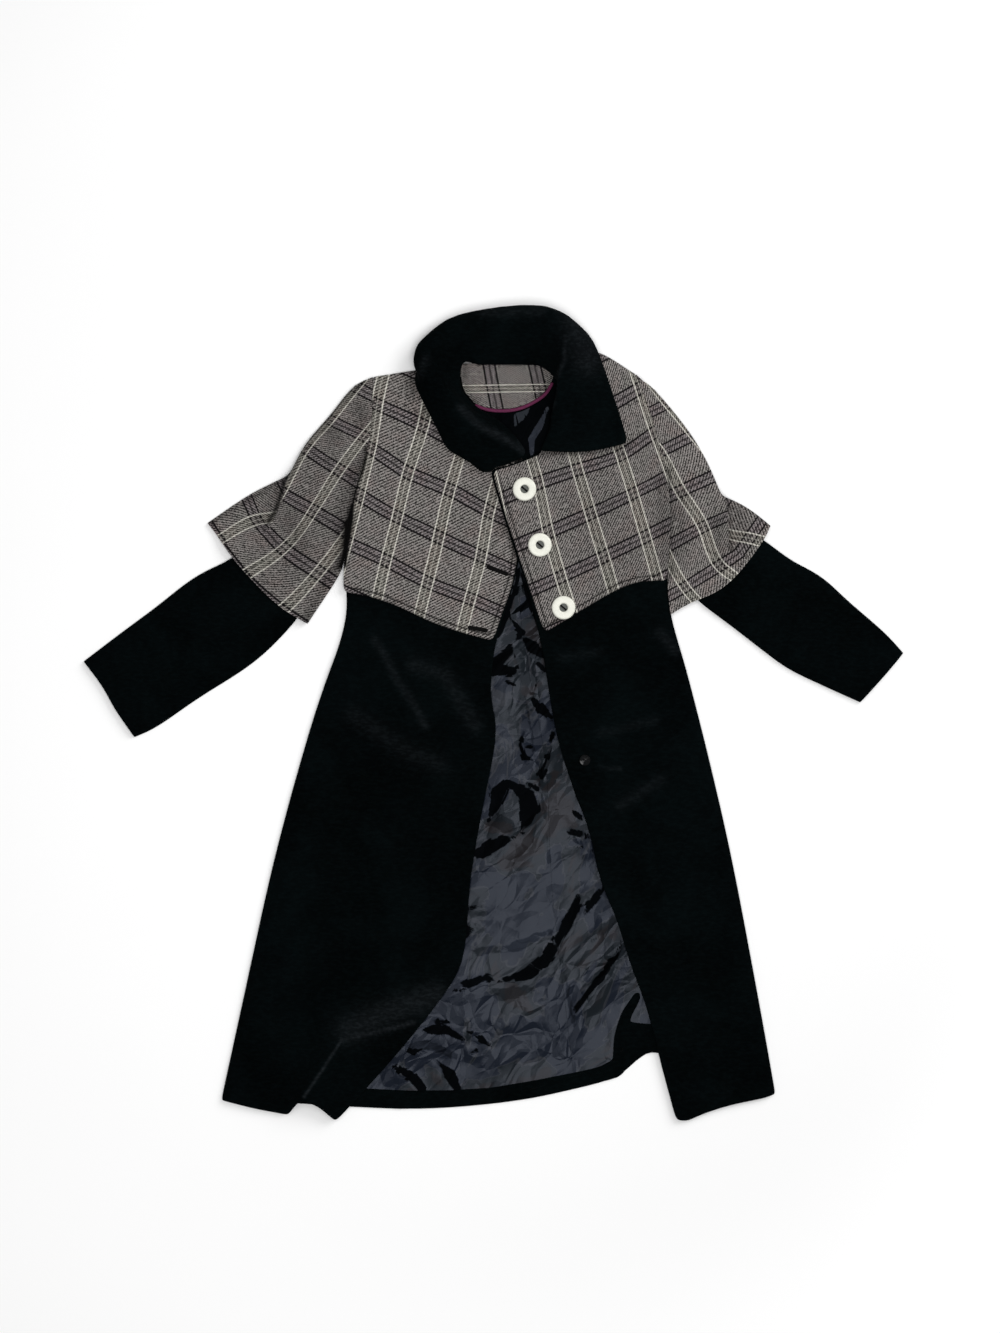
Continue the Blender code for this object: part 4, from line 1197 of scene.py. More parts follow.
def velvet_material(groups, colours):
    """Black velvet whose pile lightens where it is brushed and at grazing angles, with highlights painted
    along its folds and edges.
    """
    material, tree, shader = new_material("black_velvet", Roughness=1.0, Specular_IOR_Level=0.015,
                                          Sheen_Weight=0.014, Sheen_Roughness=0.35)
    nap = place_group(tree, groups["nap"], {
        "Place": object_place(tree), "Colour": opaque(colours.velvet),
        "Highlight colour": opaque(colours.painted_highlight), "Painted highlight": marked(tree, "painted_highlight")})
    tree.links.new(nap["Colour"], shader.inputs["Base Color"])
    bump(tree, shader, nap["Height"], 0.5, 0.0008)
    return material


def satin_height(tree, bent):
    """Crumples of the satin: large and small facets, and fine ripples."""
    heights = []
    for scale, slope in ((13.0, 0.08), (40.0, 0.07)):
        facets = node(tree, "ShaderNodeTexVoronoi", {"Vector": bent, "Scale": scale},
                      feature="DISTANCE_TO_EDGE")
        heights.append(sums(tree, "MULTIPLY", facets.outputs["Distance"], slope / scale))
    crumple = sums(tree, "MULTIPLY_ADD", marked(tree, "crumple"), 1.7, 1.1)
    height = sums(tree, "MULTIPLY", sums(tree, "ADD", *heights), crumple)
    return sums(tree, "MULTIPLY_ADD", noise(tree, bent, 70.0, 2.0), 0.0005, height)


def crease_shade(tree, turned, bent):
    """How dark the satin is painted in its shaded creases and along its seam, whose edges are ragged."""
    cells = node(tree, "ShaderNodeTexVoronoi", {"Vector": bent, "Scale": 95.0}).outputs["Color"]
    step = node(tree, "ShaderNodeSeparateXYZ", {0: cells}).outputs["X"]
    ragged = sums(tree, "MULTIPLY", sums(tree, "SUBTRACT", noise(tree, turned, 40.0, 3.0, 0.6), 0.5), 9.0)
    ragged = sums(tree, "MULTIPLY_ADD", sums(tree, "SUBTRACT", step, 0.5), 4.0, ragged)
    masks = []
    for name, strength in (("painted_deep_shade", 1.0), ("seam_and_painted_half_shade", 0.5)):
        masks.append(ramp(tree, sums(tree, "ADD", marked(tree, name), ragged), 0.9, -0.9, 0.0, strength))
    return sums(tree, "MAXIMUM", *masks)


def satin_tone(tree, turned, colours):
    """Blue satin with green and brown parts, and a highlight painted as a pale line between the tones."""
    drift = sums(tree, "MULTIPLY_ADD", marked(tree, "tint"), 0.16, noise(tree, turned, 13.0, 4.0, 0.55, 1.0))
    tone = mixed(tree, ramp(tree, drift, 0.47, 0.53), opaque(colours.satin_green), opaque(colours.satin))
    tone = mixed(tree, ramp(tree, drift, 0.42, 0.37), tone, opaque(colours.satin_brown))
    # Painted highlight: a thin pale line where the tones meet
    rim = sums(tree, "ABSOLUTE", sums(tree, "SUBTRACT", drift, 0.5))
    return mixed(tree, ramp(tree, rim, 0.016, 0.004, 0.0, 0.5), tone, (0.032, 0.033, 0.038, 1.0))


def satin_material(colours):
    """Dark satin, crumpled into facets, with shade painted into its pinched creases, where it is black and
    shows no gloss.
    """
    material, tree, shader = new_material("lining_satin", Specular_IOR_Level=0.094)
    shader.inputs["Specular Tint"].default_value = (0.80, 0.86, 1.0, 1.0)
    place = object_place(tree)
    turned = node(tree, "ShaderNodeMapping", {
        "Vector": place, "Rotation": (0.0, 0.0, math.radians(52)), "Scale": (1.7, 1.0, 1.0)},
        vector_type="TEXTURE").outputs[0]
    bend = node(tree, "ShaderNodeTexNoise", {"Vector": turned, "Scale": 14.0, "Detail": 2.0}).outputs["Color"]
    bent = vectors(tree, "ADD", turned, scaled(tree, bend, 0.06))
    shaded = crease_shade(tree, turned, bent)
    worn = ramp(tree, noise(tree, place, 20.0, 3.0), 0.3, 0.7, 0.14, 0.22)
    # Painted shade: where the creases are marked the satin turns black, metallic and rougher, so it shows no
    # gloss
    tone = mixed(tree, shaded, satin_tone(tree, turned, colours), (0.0012, 0.0015, 0.0019, 1.0))
    tree.links.new(tone, shader.inputs["Base Color"])
    tree.links.new(shaded, shader.inputs["Metallic"])
    tree.links.new(sums(tree, "MULTIPLY_ADD", shaded, 0.4, worn), shader.inputs["Roughness"])
    bump(tree, shader, satin_height(tree, bent), 1.0, 1.0)
    return material


def thread_material(groups, name, colour, turns, roughness):
    """Thread or cord in one colour."""
    material, tree, shader = new_material(name, Roughness=roughness, Specular_IOR_Level=0.1)
    place = object_place(tree)
    twist = place_group(tree, groups["thread"], {"Place": place, "Turns": turns})
    tree.links.new(scaled(tree, colour, twist["Tone"]), shader.inputs["Base Color"])
    bump(tree, shader, twist["Height"], 0.5, 0.0004)
    return material


def resin_material(name, colour, roughness, gloss):
    """Polished button resin with a faint cloud."""
    material, tree, shader = new_material(name, Specular_IOR_Level=gloss)
    place = object_place(tree)
    cloud = noise(tree, place, 180.0, 3.0, 0.6, 1.0)
    pale = tuple(min(1.0, 1.12 * part) for part in colour)
    tone = mixed(tree, ramp(tree, cloud, 0.3, 0.7), opaque(colour), opaque(pale))
    tree.links.new(tone, shader.inputs["Base Color"])
    tree.links.new(ramp(tree, cloud, 0.2, 0.8, roughness, roughness + 0.12), shader.inputs["Roughness"])
    bump(tree, shader, cloud, 0.08, 0.0004)
    return material


def floor_material():
    """White studio paper with a faint tooth, graded against the fall of the light."""
    material, tree, shader = new_material("studio_paper", Roughness=0.9, Specular_IOR_Level=0.05)
    place = object_place(tree)
    tooth = noise(tree, place, 6.0, 2.0)
    lit = node(tree, "ShaderNodeSeparateXYZ", {0: place}).outputs["X"]
    away = node(tree, "ShaderNodeVectorMath", {0: place}, operation="LENGTH").outputs["Value"]
    tone = mixed(tree, tooth, (0.955, 0.955, 0.955, 1.0), (0.965, 0.965, 0.965, 1.0))
    tone = mixed(tree, ramp(tree, lit, -0.7, 0.8), tone, (0.85, 0.85, 0.85, 1.0))
    tone = mixed(tree, ramp(tree, away, 0.7, 1.15), tone, (0.985, 0.985, 0.985, 1.0))
    tree.links.new(tone, shader.inputs["Base Color"])
    return material


def finishes():
    """The coat's materials, made once."""
    if "black_velvet" in bpy.data.materials:
        return {key: bpy.data.materials[name] for key, name in FINISH_NAMES.items()}
    sizes = bpy.context.scene.coat_sizes
    colours = bpy.context.scene.coat_colours
    groups = {"stripe": stripe_group(), "weave": weave_group(), "nap": nap_group(), "thread": thread_group()}
    tweed_material(groups, sizes, colours)
    velvet_material(groups, colours)
    satin_material(colours)
    thread_material(groups, "plum_cord", colours.piping, 900.0, 0.45)
    thread_material(groups, "grey_thread", (0.012, 0.011, 0.011), 1800.0, 0.8)
    thread_material(groups, "black_thread", (0.0022, 0.0020, 0.0021), 1500.0, 0.9)
    resin_material("cream_resin", colours.ring, 0.28, 0.45)
    resin_material("button_well", (0.07, 0.075, 0.066), 0.4, 0.3)
    resin_material("black_resin", (0.0012, 0.0014, 0.0017), 0.1, 0.3)
    return finishes()


def stitched_nowhere(plan):
    return np.zeros(len(plan), dtype=bool)


def stitched_front(side):
    """A test for plan points at the front edge or the hem of a cape front, where it is stitched."""
    sewn = SEWN_FRONTS[side]

    def stitched(plan):
        x, drop = plan.T
        edge = (sewn.inward * (x - sewn.edge_x) > 0.0) & (drop > sewn.edge_drop)
        hem = (sewn.inward * (x - sewn.hem_x) > 0.0) & (drop > sewn.hem_drop)
        return edge | hem

    return stitched


def on_sleeve_hem(ends, outward):
    """Whether an edge of half a sleeve's outline is on its hem, not on a side or the armhole."""
    way = ends[1] - ends[0]
    return outward * way[0] * way[1] < 0.0 and abs(ends[:, 0]).min() > ARMHOLE_REACH


def velvet_panel(node_name, name, levels):
    """One velvet panel of the body."""
    sizes = bpy.context.scene.coat_sizes
    piece = side_of(node_name, name, 1)
    edge_rows(piece)
    refine(piece, levels)
    soften(piece)
    turn_edges(piece, stitched_nowhere, sizes.stitch_inset)
    wall(piece, sizes.velvet_wall)
    lie_on_floor(piece)
    paint_highlights(piece, PAINTED_FRONT_HIGHLIGHTS)
    belongs(piece, "velvet", "velvet", node_name)
    return piece


def draw_back(piece, line):
    """Draw a sheet back from a line, so that its edge hides under the collar."""
    points = points_of(piece)
    shift = NECK_DRAW * smooth(1.0 - line_distance(plan_of(points), line)[0] / NECK_REACH)
    middle = plan_of(points).mean(axis=0)
    out = middle - line[len(line) // 2]
    out = out / np.linalg.norm(out)
    points[:, 0] += shift * out[0] * MM
    points[:, 1] -= shift * out[1] * MM
    set_points(piece, points)


def settle_on(piece, under, wall_height):
    """Lift a sheet where the piece under it would come through."""
    points = points_of(piece)
    tree = BVHTree.FromObject(under, bpy.context.evaluated_depsgraph_get())
    for point in points:
        hit = tree.ray_cast(Vector((point[0], point[1], 1.0)), Vector((0.0, 0.0, -1.0)))[0]
        if hit:
            point[2] = max(point[2], hit.z + wall_height + SETTLE_GAP * MM)
    set_points(piece, points)


def edge_shade(piece, stitched, inset):
    """How dark the turned edge and the stitched groove of a sheet are."""
    away, sewn = edge_distance(piece, stitched)
    rim = EDGE_SHADE * np.exp(-(away / EDGE_SHADE_WIDTH) ** 2)
    groove = GROOVE_SHADE * np.exp(-((away - inset / MM) / GROOVE_WIDTH) ** 2)
    return np.where(sewn, np.maximum(rim, groove), 0.0)


def tweed_panel(node_name, name, stitched, plaid, shaded, neck=None, under=None):
    """One tweed panel of the cape's body."""
    sizes = bpy.context.scene.coat_sizes
    piece = side_of(node_name, name, 1)
    edge_rows(piece)
    refine(piece, 2)
    if neck:
        draw_back(piece, neck)
    soften(piece)
    if under:
        settle_on(piece, bpy.data.objects[under], sizes.tweed_wall)
    turn_edges(piece, stitched, sizes.stitch_inset)
    if stitched is not stitched_nowhere:
        stitch_lines[name] = edge_line(piece, lambda ends: stitched(ends).all(), sizes.stitch_inset)
    shade(piece, shaded, edge_shade(piece, stitched, sizes.stitch_inset))
    wall(piece, sizes.tweed_wall)
    lie_on_floor(piece)
    cloth_map(piece, plaid, sizes.plaid_pitch)
    belongs(piece, "tweed", "tweed", node_name)
    return piece


def sleeve_sides(piece, outward):
    """Points on the sides of half a sleeve: its outline without the armhole and the hem."""
    plan = plan_of(points_of(piece))
    pairs = outline(piece)
    way = plan[pairs[:, 1]] - plan[pairs[:, 0]]
    far = np.abs(plan[pairs].mean(axis=1)[:, 0]) > ARMHOLE_REACH
    slant = outward * way[:, 0] * way[:, 1] > 0.0
    gentle = np.abs(way[:, 1]) < ARMHOLE_STEEPNESS * np.abs(way[:, 0])
    chosen = np.zeros(len(plan), dtype=bool)
    chosen[pairs[slant & (gentle | far)].ravel()] = True
    return chosen


def under_heights(node_name, places):
    """Height of a frame node's under side at world places, from its nearest points."""
    points = np.unique(points_of(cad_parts[node_name]).round(6), axis=0)
    heights = np.empty(len(places))
    for number, place in enumerate(places):
        near = np.argsort(np.linalg.norm(points[:, :2] - place, axis=1))[:NEAREST]
        heights[number] = points[near, 2].min()
    return heights


def sleeve_tube(halves, name, outward, levels, folds):
    """A sleeve: its top half, and under it a copy laid flat, joined along the folds at its sides."""
    top_node, under_node = halves
    top = side_of(top_node, name, 1)
    refine(top, levels)
    points = points_of(top)
    flat = points.copy()
    flat[:, 2] = under_heights(under_node, points[:, :2])
    points[:, 2] += fold_rise(plan_of(points), folds) * MM
    if folds:
        inset = SLEEVE_STITCH_INSET * MM
        stitch_lines[name] = edge_line(top, lambda ends: on_sleeve_hem(ends, outward), inset)
    chosen = sleeve_sides(top, outward)
    middle = 0.5 * (points[chosen, 2] + flat[chosen, 2])
    points[chosen, 2] = middle
    flat[chosen, 2] = middle
    set_points(top, points)
    pick(top, chosen)
    under = bpy.data.objects.new(name + "_under", top.data.copy())
    bpy.context.scene.collection.objects.link(under)
    set_points(under, flat)
    under.data.flip_normals()
    only(under, top)
    bpy.ops.object.join()
    bpy.ops.object.mode_set(mode="EDIT")
    bpy.ops.mesh.remove_doubles(threshold=MERGE, use_unselected=False)
    end_edit()
    return top


class COAT_OT_velvet_body(bpy.types.Operator):
    """Make the velvet back and fronts"""

    bl_idname = "coat.velvet_body"
    bl_label = "Velvet body"

    def execute(self, context):
        panels = (("coat_back", "velvet_back", 2, "cape_back_cloth"),
                  ("coat_front_left", "velvet_front_left", 3, "velvet_back"),
                  ("coat_front_right", "velvet_front_right", 3, "velvet_back"))
        for node_name, name, levels, under in panels:
            velvet_panel(node_name, name, levels)
        return {"FINISHED"}


class COAT_OT_velvet_sleeves(bpy.types.Operator):
    """Make the long velvet sleeves"""

    bl_idname = "coat.velvet_sleeves"
    bl_label = "Velvet sleeves"

    def execute(self, context):
        sizes = context.scene.coat_sizes
        for side, outward in (("left", -1.0), ("right", 1.0)):
            nodes = ("coat_sleeve_top_" + side, "coat_sleeve_under_" + side)
            sleeve = sleeve_tube(nodes, "velvet_sleeve_" + side, outward, 2, [])
            wall(sleeve, sizes.sleeve_wall)
            paint_highlights(sleeve, [])
            belongs(sleeve, "velvet", "velvet", *nodes)
        return {"FINISHED"}


class COAT_OT_cape_body(bpy.types.Operator):
    """Make the tweed cape's back and fronts"""

    bl_idname = "coat.cape_body"
    bl_label = "Cape body"

    def execute(self, context):
        back = tweed_panel("cape_back", "cape_back_cloth", stitched_nowhere, CAPE_BACK_PLAID, [])
        fronts = (("left", CAPE_FRONT_LEFT_PLAID, NECK_LEFT, []),
                  ("right", CAPE_FRONT_RIGHT_PLAID, None, NECK_PULLS))
        for side, plaid, neck, pulls in fronts:
            under = "velvet_front_" + side
            front = tweed_panel("cape_front_" + side, "cape_front_%s_cloth" % side, stitched_front(side),
                                plaid, SHADED_FRONTS[side], neck, under)
            pull_points(front, pulls)
        return {"FINISHED"}


class COAT_OT_cape_sleeves(bpy.types.Operator):
    """Make the flared tweed sleeves of the cape"""

    bl_idname = "coat.cape_sleeves"
    bl_label = "Cape sleeves"

    def execute(self, context):
        sizes = context.scene.coat_sizes
        plaids = {"left": (CAPE_SLEEVE_LEFT_PLAID, CAPE_LOBE_LEFT_PLAID),
                  "right": (CAPE_SLEEVE_RIGHT_PLAID, CAPE_LOBE_RIGHT_PLAID)}
        for side, outward in (("left", -1.0), ("right", 1.0)):
            nodes = ("cape_sleeve_top_" + side, "cape_sleeve_under_" + side)
            sleeve = sleeve_tube(nodes, "cape_sleeve_" + side, outward, 3, SLEEVE_FOLDS[side])
            wall(sleeve, sizes.sleeve_wall)
            lie_on_floor(sleeve)
            shade(sleeve, SHADED_SLEEVES[side])
            main, behind = plaids[side]
            cloth_map(sleeve, main, sizes.plaid_pitch, CAPE_LOBES[side], behind)
            belongs(sleeve, "tweed", "tweed", *nodes)
        return {"FINISHED"}


def fit_neck(piece):
    """Draw the collar's foot in at the left of the neck, where the cape's edge hides under it."""
    points = points_of(piece)
    plan = plan_of(points)
    low = smooth((COLLAR_FOOT_TOP - points[:, 2] / MM) / COLLAR_FOOT_EASE)
    shift = NECK_DRAW * low * smooth(1.0 - line_distance(plan, NECK_LEFT)[0] / NECK_REACH)
    inward = np.array(NECK_MIDDLE) - plan
    inward = inward / np.linalg.norm(inward, axis=1)[:, None]
    points[:, 0] += shift * inward[:, 0] * MM
    points[:, 1] -= shift * inward[:, 1] * MM
    set_points(piece, points)


def pull_points(piece, pulls):
    """Pull the points near a place to one side, less and less away from it."""
    points = points_of(piece)
    for pull in pulls:
        away = np.linalg.norm(plan_of(points) - (pull.x, pull.drop), axis=1)
        share = smooth(1.0 - away / pull.reach)
        points[:, 0] += share * pull.shift_x * MM
        points[:, 1] -= share * pull.shift_drop * MM
    set_points(piece, points)


class COAT_OT_collar(bpy.types.Operator):
    """Make the wide rolled collar"""

    bl_idname = "coat.collar"
    bl_label = "Collar"

    def execute(self, context):
        piece = round_copy("collar", "velvet_collar", COLLAR_SWELL)
        soften(piece)
        fit_neck(piece)
        pull_points(piece, COLLAR_PULLS)
        shade_round(piece)
        paint_highlights(piece, PAINTED_COLLAR_HIGHLIGHTS)
        belongs(piece, "velvet", "velvet", "collar")
        return {"FINISHED"}


def front_edges():
    """Plan x of the inner edges of the left and the right velvet front at EDGE_DROPS."""
    edges = []
    for name, inner in (("velvet_front_left", np.maximum), ("velvet_front_right", np.minimum)):
        plan = plan_of(points_of(bpy.data.objects[name]))
        near = [np.abs(plan[:, 1] - drop) < EDGE_BAND for drop in EDGE_DROPS]
        edges.append([inner.reduce(plan[rows][:, 0]) for rows in near])
    return edges


def crease_lining(piece):
    """Crumple the satin where it shows between the fronts."""
    points = points_of(piece)
    plan = plan_of(points)
    left_edge, right_edge = [np.interp(plan[:, 1], EDGE_DROPS, edge) for edge in front_edges()]
    inside_left = smooth((plan[:, 0] - left_edge + LINING_OVERLAP) / LINING_EASE)
    inside_right = smooth((right_edge + LINING_OVERLAP - plan[:, 0]) / LINING_EASE)
    shown = LINING_UNDER_FRONTS + (1.0 - LINING_UNDER_FRONTS) * inside_left * inside_right
    points[:, 2] += fold_rise(plan, creases_as_folds(CREASES_IN_DEEP_SHADE)) * shown * MM
    set_points(piece, points)
    # Painted shade: black in the deep creases and inside the neck, half dark in the shallow folds and at the
    # seam
    neck = NECK_CRISPNESS * np.maximum(plan[:, 1] - NECK_SHADE, -crease_distance(plan, NECK_GLINTS))
    mark(piece, "painted_deep_shade", np.minimum(crease_distance(plan, CREASES_IN_DEEP_SHADE), neck))
    mark(piece, "seam_and_painted_half_shade", crease_distance(plan, SEAM_AND_HALF_SHADE_CREASES))
    blue = np.clip(-crease_distance(plan, BLUE_PARTS) / TINT_EASE, 0.0, 1.0)
    brown = np.clip(-crease_distance(plan, BROWN_PARTS) / TINT_EASE, 0.0, 1.0)
    mark(piece, "tint", blue - brown)
    mark(piece, "crumple", soft_marks(plan, CRUMPLED))


def satin_lining(side):
    """One half of the back's lining."""
    piece = side_of("back_lining_" + side, "satin_lining_" + side, 1)
    edit_all(piece)
    bpy.ops.mesh.subdivide(number_cuts=1)
    end_edit()
    refine(piece, 4)
    pull_points(piece, LINING_PULLS)
    crease_lining(piece)
    shade_round(piece)
    belongs(piece, "satin", "lining", "back_lining_" + side)


def hem_band(sizes):
    """The velvet that is turned up at the back's hem."""
    piece = side_of("back_hem_band", "velvet_hem_band", 1)
    edge_rows(piece)
    refine(piece, 2)
    pull_points(piece, HEM_PULLS)
    turn_edges(piece, stitched_nowhere, sizes.stitch_inset)
    wall(piece, HEM_WALL)
    paint_highlights(piece, [])
    belongs(piece, "velvet", "velvet", "back_hem_band")


def neck_facing(sizes):
    """The tweed facing inside the back of the neck."""
    piece = side_of("neck_facing", "neck_facing_cloth", 1)
    refine(piece, 3)
    wall(piece, sizes.tweed_wall)
    shade(piece, SHADED_FACING)
    cloth_map(piece, FACING_PLAID, sizes.plaid_pitch)
    belongs(piece, "tweed", "tweed", "neck_facing")


def neck_piping():
    """The cord along the facing's lower edge."""
    piece = round_copy("neck_piping", "plum_piping", PIPING_SWELL)
    shade_round(piece)
    belongs(piece, "cord", "piping", "neck_piping")


class COAT_OT_back_inside(bpy.types.Operator):
    """Make the satin lining, the turned-up hem, the neck facing and its piping"""

    bl_idname = "coat.back_inside"
    bl_label = "Inside of the back"

    def execute(self, context):
        sizes = context.scene.coat_sizes
        satin_lining("left")
        satin_lining("right")
        hem_band(sizes)
        neck_facing(sizes)
        neck_piping()
        return {"FINISHED"}


def resting_place(node_name):
    """Matrix that stands a button on its frame node's seat, and the node's radius and height."""
    points = np.unique(points_of(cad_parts[node_name]).round(7), axis=0)
    middle = 0.5 * (points.max(axis=0) + points.min(axis=0))
    normal = np.linalg.svd(points - points.mean(axis=0))[2][2]
    normal = normal * np.sign(normal[2])
    rise = (points - middle) @ normal
    across = np.linalg.norm(points - middle - rise[:, None] * normal, axis=1)
    seat = Vector(middle + rise.min() * normal)
    turn = Vector((0.0, 0.0, 1.0)).rotation_difference(Vector(normal)).to_matrix().to_4x4()
    return Matrix.Translation(seat) @ turn, across.max(), rise.max() - rise.min()


def spun_disc(name, rows):
    """A new piece spun round the upright axis from the points of its profile."""
    mesh = bpy.data.meshes.new(name)
    mesh.from_pydata(rows, [(row, row + 1) for row in range(len(rows) - 1)], [])
    piece = bpy.data.objects.new(name, mesh)
    bpy.context.scene.collection.objects.link(piece)
    edit_all(piece)
    bpy.ops.mesh.spin(steps=BUTTON_STEPS, angle=2.0 * math.pi, center=(0.0, 0.0, 0.0), axis=(0.0, 0.0, 1.0))
    bpy.ops.mesh.select_all(action="SELECT")
    bpy.ops.mesh.remove_doubles(threshold=MERGE)
    bpy.ops.mesh.normals_make_consistent(inside=False)
    end_edit()
    return piece


def thread_bar(name, place, radius, height):
    """The thread across a button's well."""
    bpy.ops.mesh.primitive_cylinder_add(vertices=10, radius=BAR_RADIUS * radius, depth=BAR_LENGTH * radius)
    bar = bpy.context.object
    bar.name = name
    bar.data.transform(Matrix.Rotation(math.radians(90), 4, "Y"))
    bar.data.transform(Matrix.Rotation(BAR_TURN, 4, "Z"))
    bar.data.transform(place @ Matrix.Translation((0.0, 0.0, BAR_HEIGHT * height)))
    bpy.ops.object.shade_smooth_by_angle(angle=BUTTON_ANGLE)
    belongs(bar, "hole_thread", "small_button")


def button(node_name, name, profile, looks, slot):
    """A dished button with a thread bar: the second look is for its well."""
    place, radius, height = resting_place(node_name)
    piece = spun_disc(name, [(share * radius, 0.0, rise * height) for share, rise in profile])
    for look in looks:
        piece.data.materials.append(finishes()[look])
    for polygon in piece.data.polygons:
        in_well = math.hypot(polygon.center.x, polygon.center.y) < WELL_SHARE * radius
        polygon.material_index = 1 if in_well and polygon.center.z > WELL_FLOOR * height else 0
    bpy.ops.object.shade_smooth_by_angle(angle=BUTTON_ANGLE)
    piece.data.transform(place)
    belongs(piece, None, slot, node_name)
    thread_bar(name + "_thread", place, radius, height)


class COAT_OT_buttons(bpy.types.Operator):
    """Make the large ring buttons and the small black one"""

    bl_idname = "coat.buttons"
    bl_label = "Buttons"

    def execute(self, context):
        for place in ("top", "middle", "low"):
            button("button_" + place, "ring_button_" + place, RING_PROFILE, ["ring", "well"], "ring_button")
        button("button_small", "black_button", SMALL_PROFILE, ["small", "small"], "small_button")
        return {"FINISHED"}


def drop_on(piece, places):
    """Points on a piece's upper side at world places, seen from above."""
    tree = BVHTree.FromObject(piece, bpy.context.evaluated_depsgraph_get())
    found = []
    for x, y in places:
        hit = tree.ray_cast(Vector((x, y, 1.0)), Vector((0.0, 0.0, -1.0)))[0]
        if hit:
            found.append(hit)
    return np.array(found)


def stitch_row(name, places, sizes):
    """A row of stitches along points in space."""
    line = bpy.data.curves.new(name + "_line", "CURVE")
    line.dimensions = "3D"
    line.twist_mode = "Z_UP"
    run = line.splines.new("POLY")
    run.points.add(len(places) - 1)
    run.points.foreach_set("co", np.column_stack([places, np.ones(len(places))]).ravel())
    guide = bpy.data.objects.new(name + "_line", line)
    bpy.context.scene.collection.objects.link(guide)
    half = STITCH_SHARE * sizes.stitch_pitch
    bpy.ops.mesh.primitive_uv_sphere_add(segments=6, ring_count=5, radius=1.0)
    row = bpy.context.object
    row.name = name
    shape = Matrix.Diagonal((half, STITCH_WIDTH * MM, STITCH_HEIGHT * MM, 1.0))
    row.data.transform(Matrix.Translation((half, 0.0, 0.0)) @ shape)
    apply_modifier(row, "ARRAY", fit_type="FIT_CURVE", curve=guide, use_relative_offset=False,
                   use_constant_offset=True, constant_offset_displace=(sizes.stitch_pitch, 0.0, 0.0))
    apply_modifier(row, "CURVE", object=guide, deform_axis="POS_X")
    bpy.data.objects.remove(guide)
    shade_round(row)
    belongs(row, "thread", "tweed")


def buttonhole(name, start, end, cloth):
    """A slit with a worked edge of thread."""
    first, last = np.array(world_of(start)), np.array(world_of(end))
    length = np.linalg.norm(last - first)
    bpy.ops.mesh.primitive_torus_add(
        major_radius=HOLE_RADIUS * MM, minor_radius=HOLE_THREAD * MM, major_segments=40, minor_segments=10)
    edge = bpy.context.object
    bpy.ops.mesh.primitive_uv_sphere_add(segments=24, ring_count=12, radius=SLIT_RADIUS * MM)
    slit = bpy.context.object
    for part, flat in ((edge, HOLE_FLAT), (slit, SLIT_FLAT)):
        points = points_of(part)
        points[:, 0] += np.sign(points[:, 0]) * 0.5 * (length - HOLE_ENDS * MM)
        points[:, 2] *= flat
        set_points(part, points)
    only(slit, edge)
    bpy.ops.object.join()
    edge.name = name
    seat = drop_on(cloth, [first + share * (last - first) for share in HOLE_SEATS])
    middle = Vector(seat[1]) + Vector((0.0, 0.0, HOLE_LIFT * MM))
    along = Vector(seat[2] - seat[0]).normalized()
    side = Vector((0.0, 0.0, 1.0)).cross(along).normalized()
    turn = Matrix((along, side, along.cross(side))).transposed().to_4x4()
    edge.data.transform(Matrix.Translation(middle) @ turn)
    bpy.ops.object.shade_smooth()
    belongs(edge, "hole_thread", "tweed")


class COAT_OT_sewing(bpy.types.Operator):
    """Make the topstitching and the buttonholes"""

    bl_idname = "coat.sewing"
    bl_label = "Sewing"

    def execute(self, context):
        for name, line in stitch_lines.items():
            places = drop_on(bpy.data.objects[name], line)
            places[:, 2] += STITCH_LIFT * MM
            stitch_row(name + "_stitches", places, context.scene.coat_sizes)
        cloth = bpy.data.objects["cape_front_left_cloth"]
        for number, (start, end) in enumerate(BUTTONHOLES, 1):
            buttonhole("buttonhole_%d" % number, start, end, cloth)
        return {"FINISHED"}


def area_light(lamp):
    """A square soft light that looks at a place."""
    data = bpy.data.lights.new(lamp.name, "AREA")
    data.size = lamp.size
    data.energy = lamp.power
    light = bpy.data.objects.new(lamp.name, data)
    light.location = lamp.place
    light.rotation_euler = (Vector(lamp.target) - Vector(lamp.place)).to_track_quat("-Z", "Y").to_euler()
    light.visible_camera = False
    bpy.context.scene.collection.objects.link(light)


def paper_floor():
    """The paper that the coat lies on."""
    bpy.ops.mesh.primitive_plane_add(size=FLOOR_SIZE)
    floor = bpy.context.object
    floor.name = "studio_floor"
    floor.data.materials.append(floor_material())


def light_all_round(scene):
    """A white world that fills the shadows."""
    scene.world = bpy.data.worlds.new("studio")
    scene.world.use_nodes = True
    sky = scene.world.node_tree.nodes["Background"]
    sky.inputs["Color"].default_value = (1.0, 1.0, 1.0, 1.0)
    sky.inputs["Strength"].default_value = AMBIENT


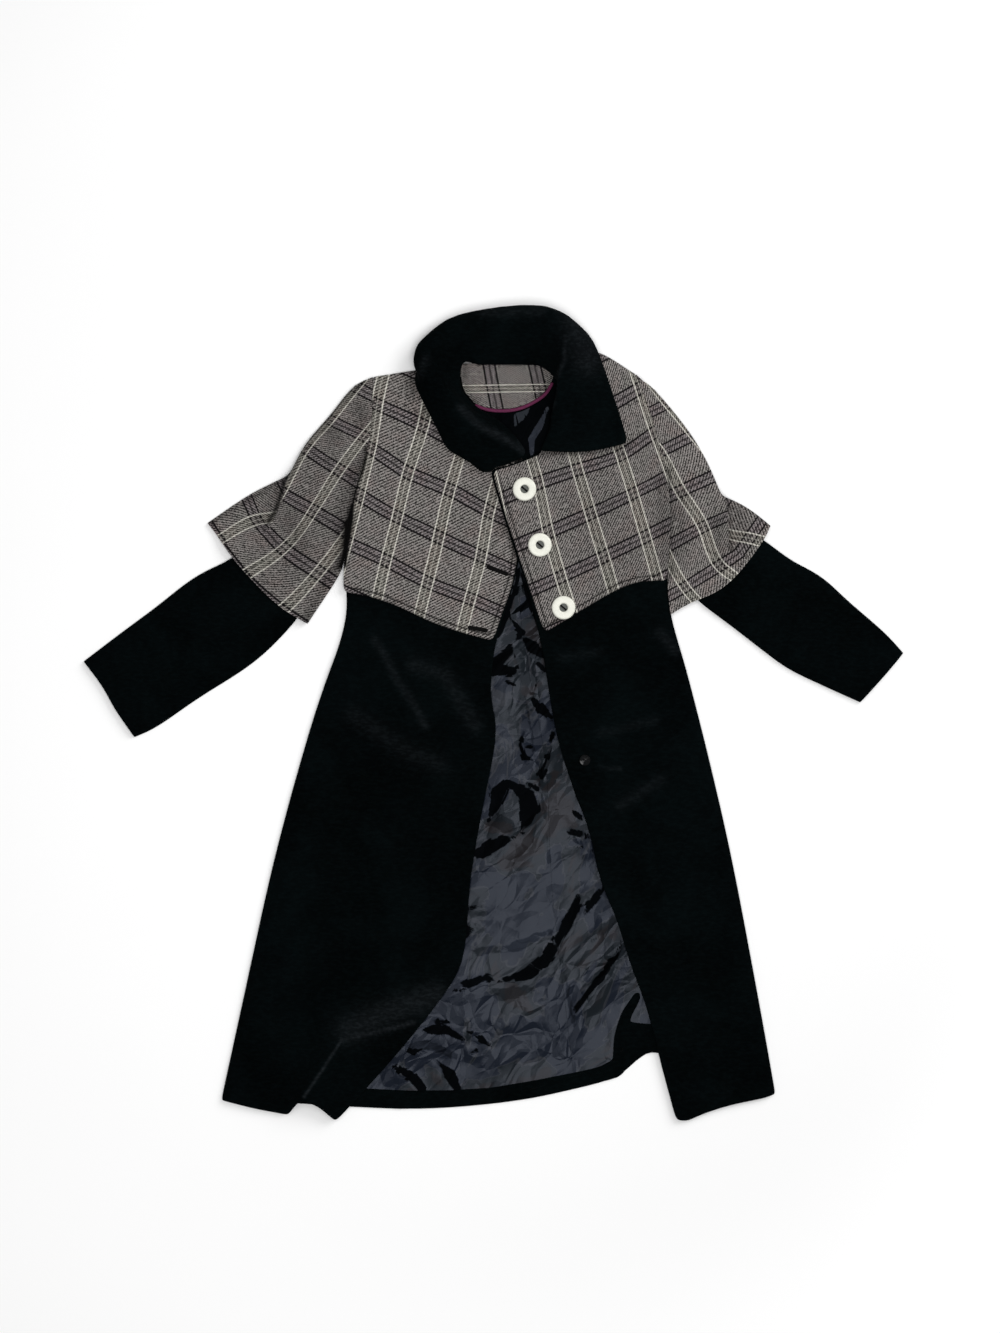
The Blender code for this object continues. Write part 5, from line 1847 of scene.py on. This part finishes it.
def photo_camera(scene):
    """A camera straight above, whose frame is the photograph's at the floor."""
    lens = bpy.data.cameras.new("camera")
    lens.lens = LENS
    lens.sensor_fit = "VERTICAL"
    lens.sensor_height = SENSOR
    camera = bpy.data.objects.new("camera", lens)
    x, y = world_of(FRAME_CENTRE)
    tall = FRAME_SIZE[1] * FRAME_SCALE * MM
    camera.location = (x, y, LENS / SENSOR * tall)
    scene.collection.objects.link(camera)
    scene.camera = camera


class COAT_OT_stage(bpy.types.Operator):
    """Make the floor, the lights and the camera"""

    bl_idname = "coat.stage"
    bl_label = "Stage"

    def execute(self, context):
        paper_floor()
        for lamp in LAMPS:
            area_light(lamp)
        light_all_round(context.scene)
        photo_camera(context.scene)
        context.scene.view_settings.view_transform = "Standard"
        return {"FINISHED"}


class COAT_PT_panel(bpy.types.Panel):
    """The coat's pieces in the sidebar"""

    bl_label = "Coat"
    bl_idname = "COAT_PT_panel"
    bl_space_type = "VIEW_3D"
    bl_region_type = "UI"
    bl_category = "Coat"

    def draw(self, context):
        for step in STEPS:
            self.layout.operator(step.bl_idname)
        for group in (context.scene.coat_sizes, context.scene.coat_colours):
            for name in group.__annotations__:
                self.layout.prop(group, name)


STEPS = (
    COAT_OT_velvet_body, COAT_OT_velvet_sleeves, COAT_OT_cape_body, COAT_OT_cape_sleeves, COAT_OT_back_inside,
    COAT_OT_collar, COAT_OT_buttons, COAT_OT_sewing, COAT_OT_stage,
)
CLASSES = (CoatSizes, CoatColours, *STEPS, COAT_PT_panel)


def register():
    for item in CLASSES:
        bpy.utils.register_class(item)
    bpy.types.Scene.coat_sizes = PointerProperty(type=CoatSizes)
    bpy.types.Scene.coat_colours = PointerProperty(type=CoatColours)


def unregister():
    del bpy.types.Scene.coat_colours
    del bpy.types.Scene.coat_sizes
    for item in reversed(CLASSES):
        bpy.utils.unregister_class(item)


def main():
    register()
    bpy.ops.coat.velvet_body()
    bpy.ops.coat.velvet_sleeves()
    bpy.ops.coat.cape_body()
    bpy.ops.coat.cape_sleeves()
    bpy.ops.coat.back_inside()
    bpy.ops.coat.collar()
    bpy.ops.coat.buttons()
    bpy.ops.coat.sewing()
    bpy.ops.coat.stage()
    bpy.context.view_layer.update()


if __name__ == "__main__":
    main()
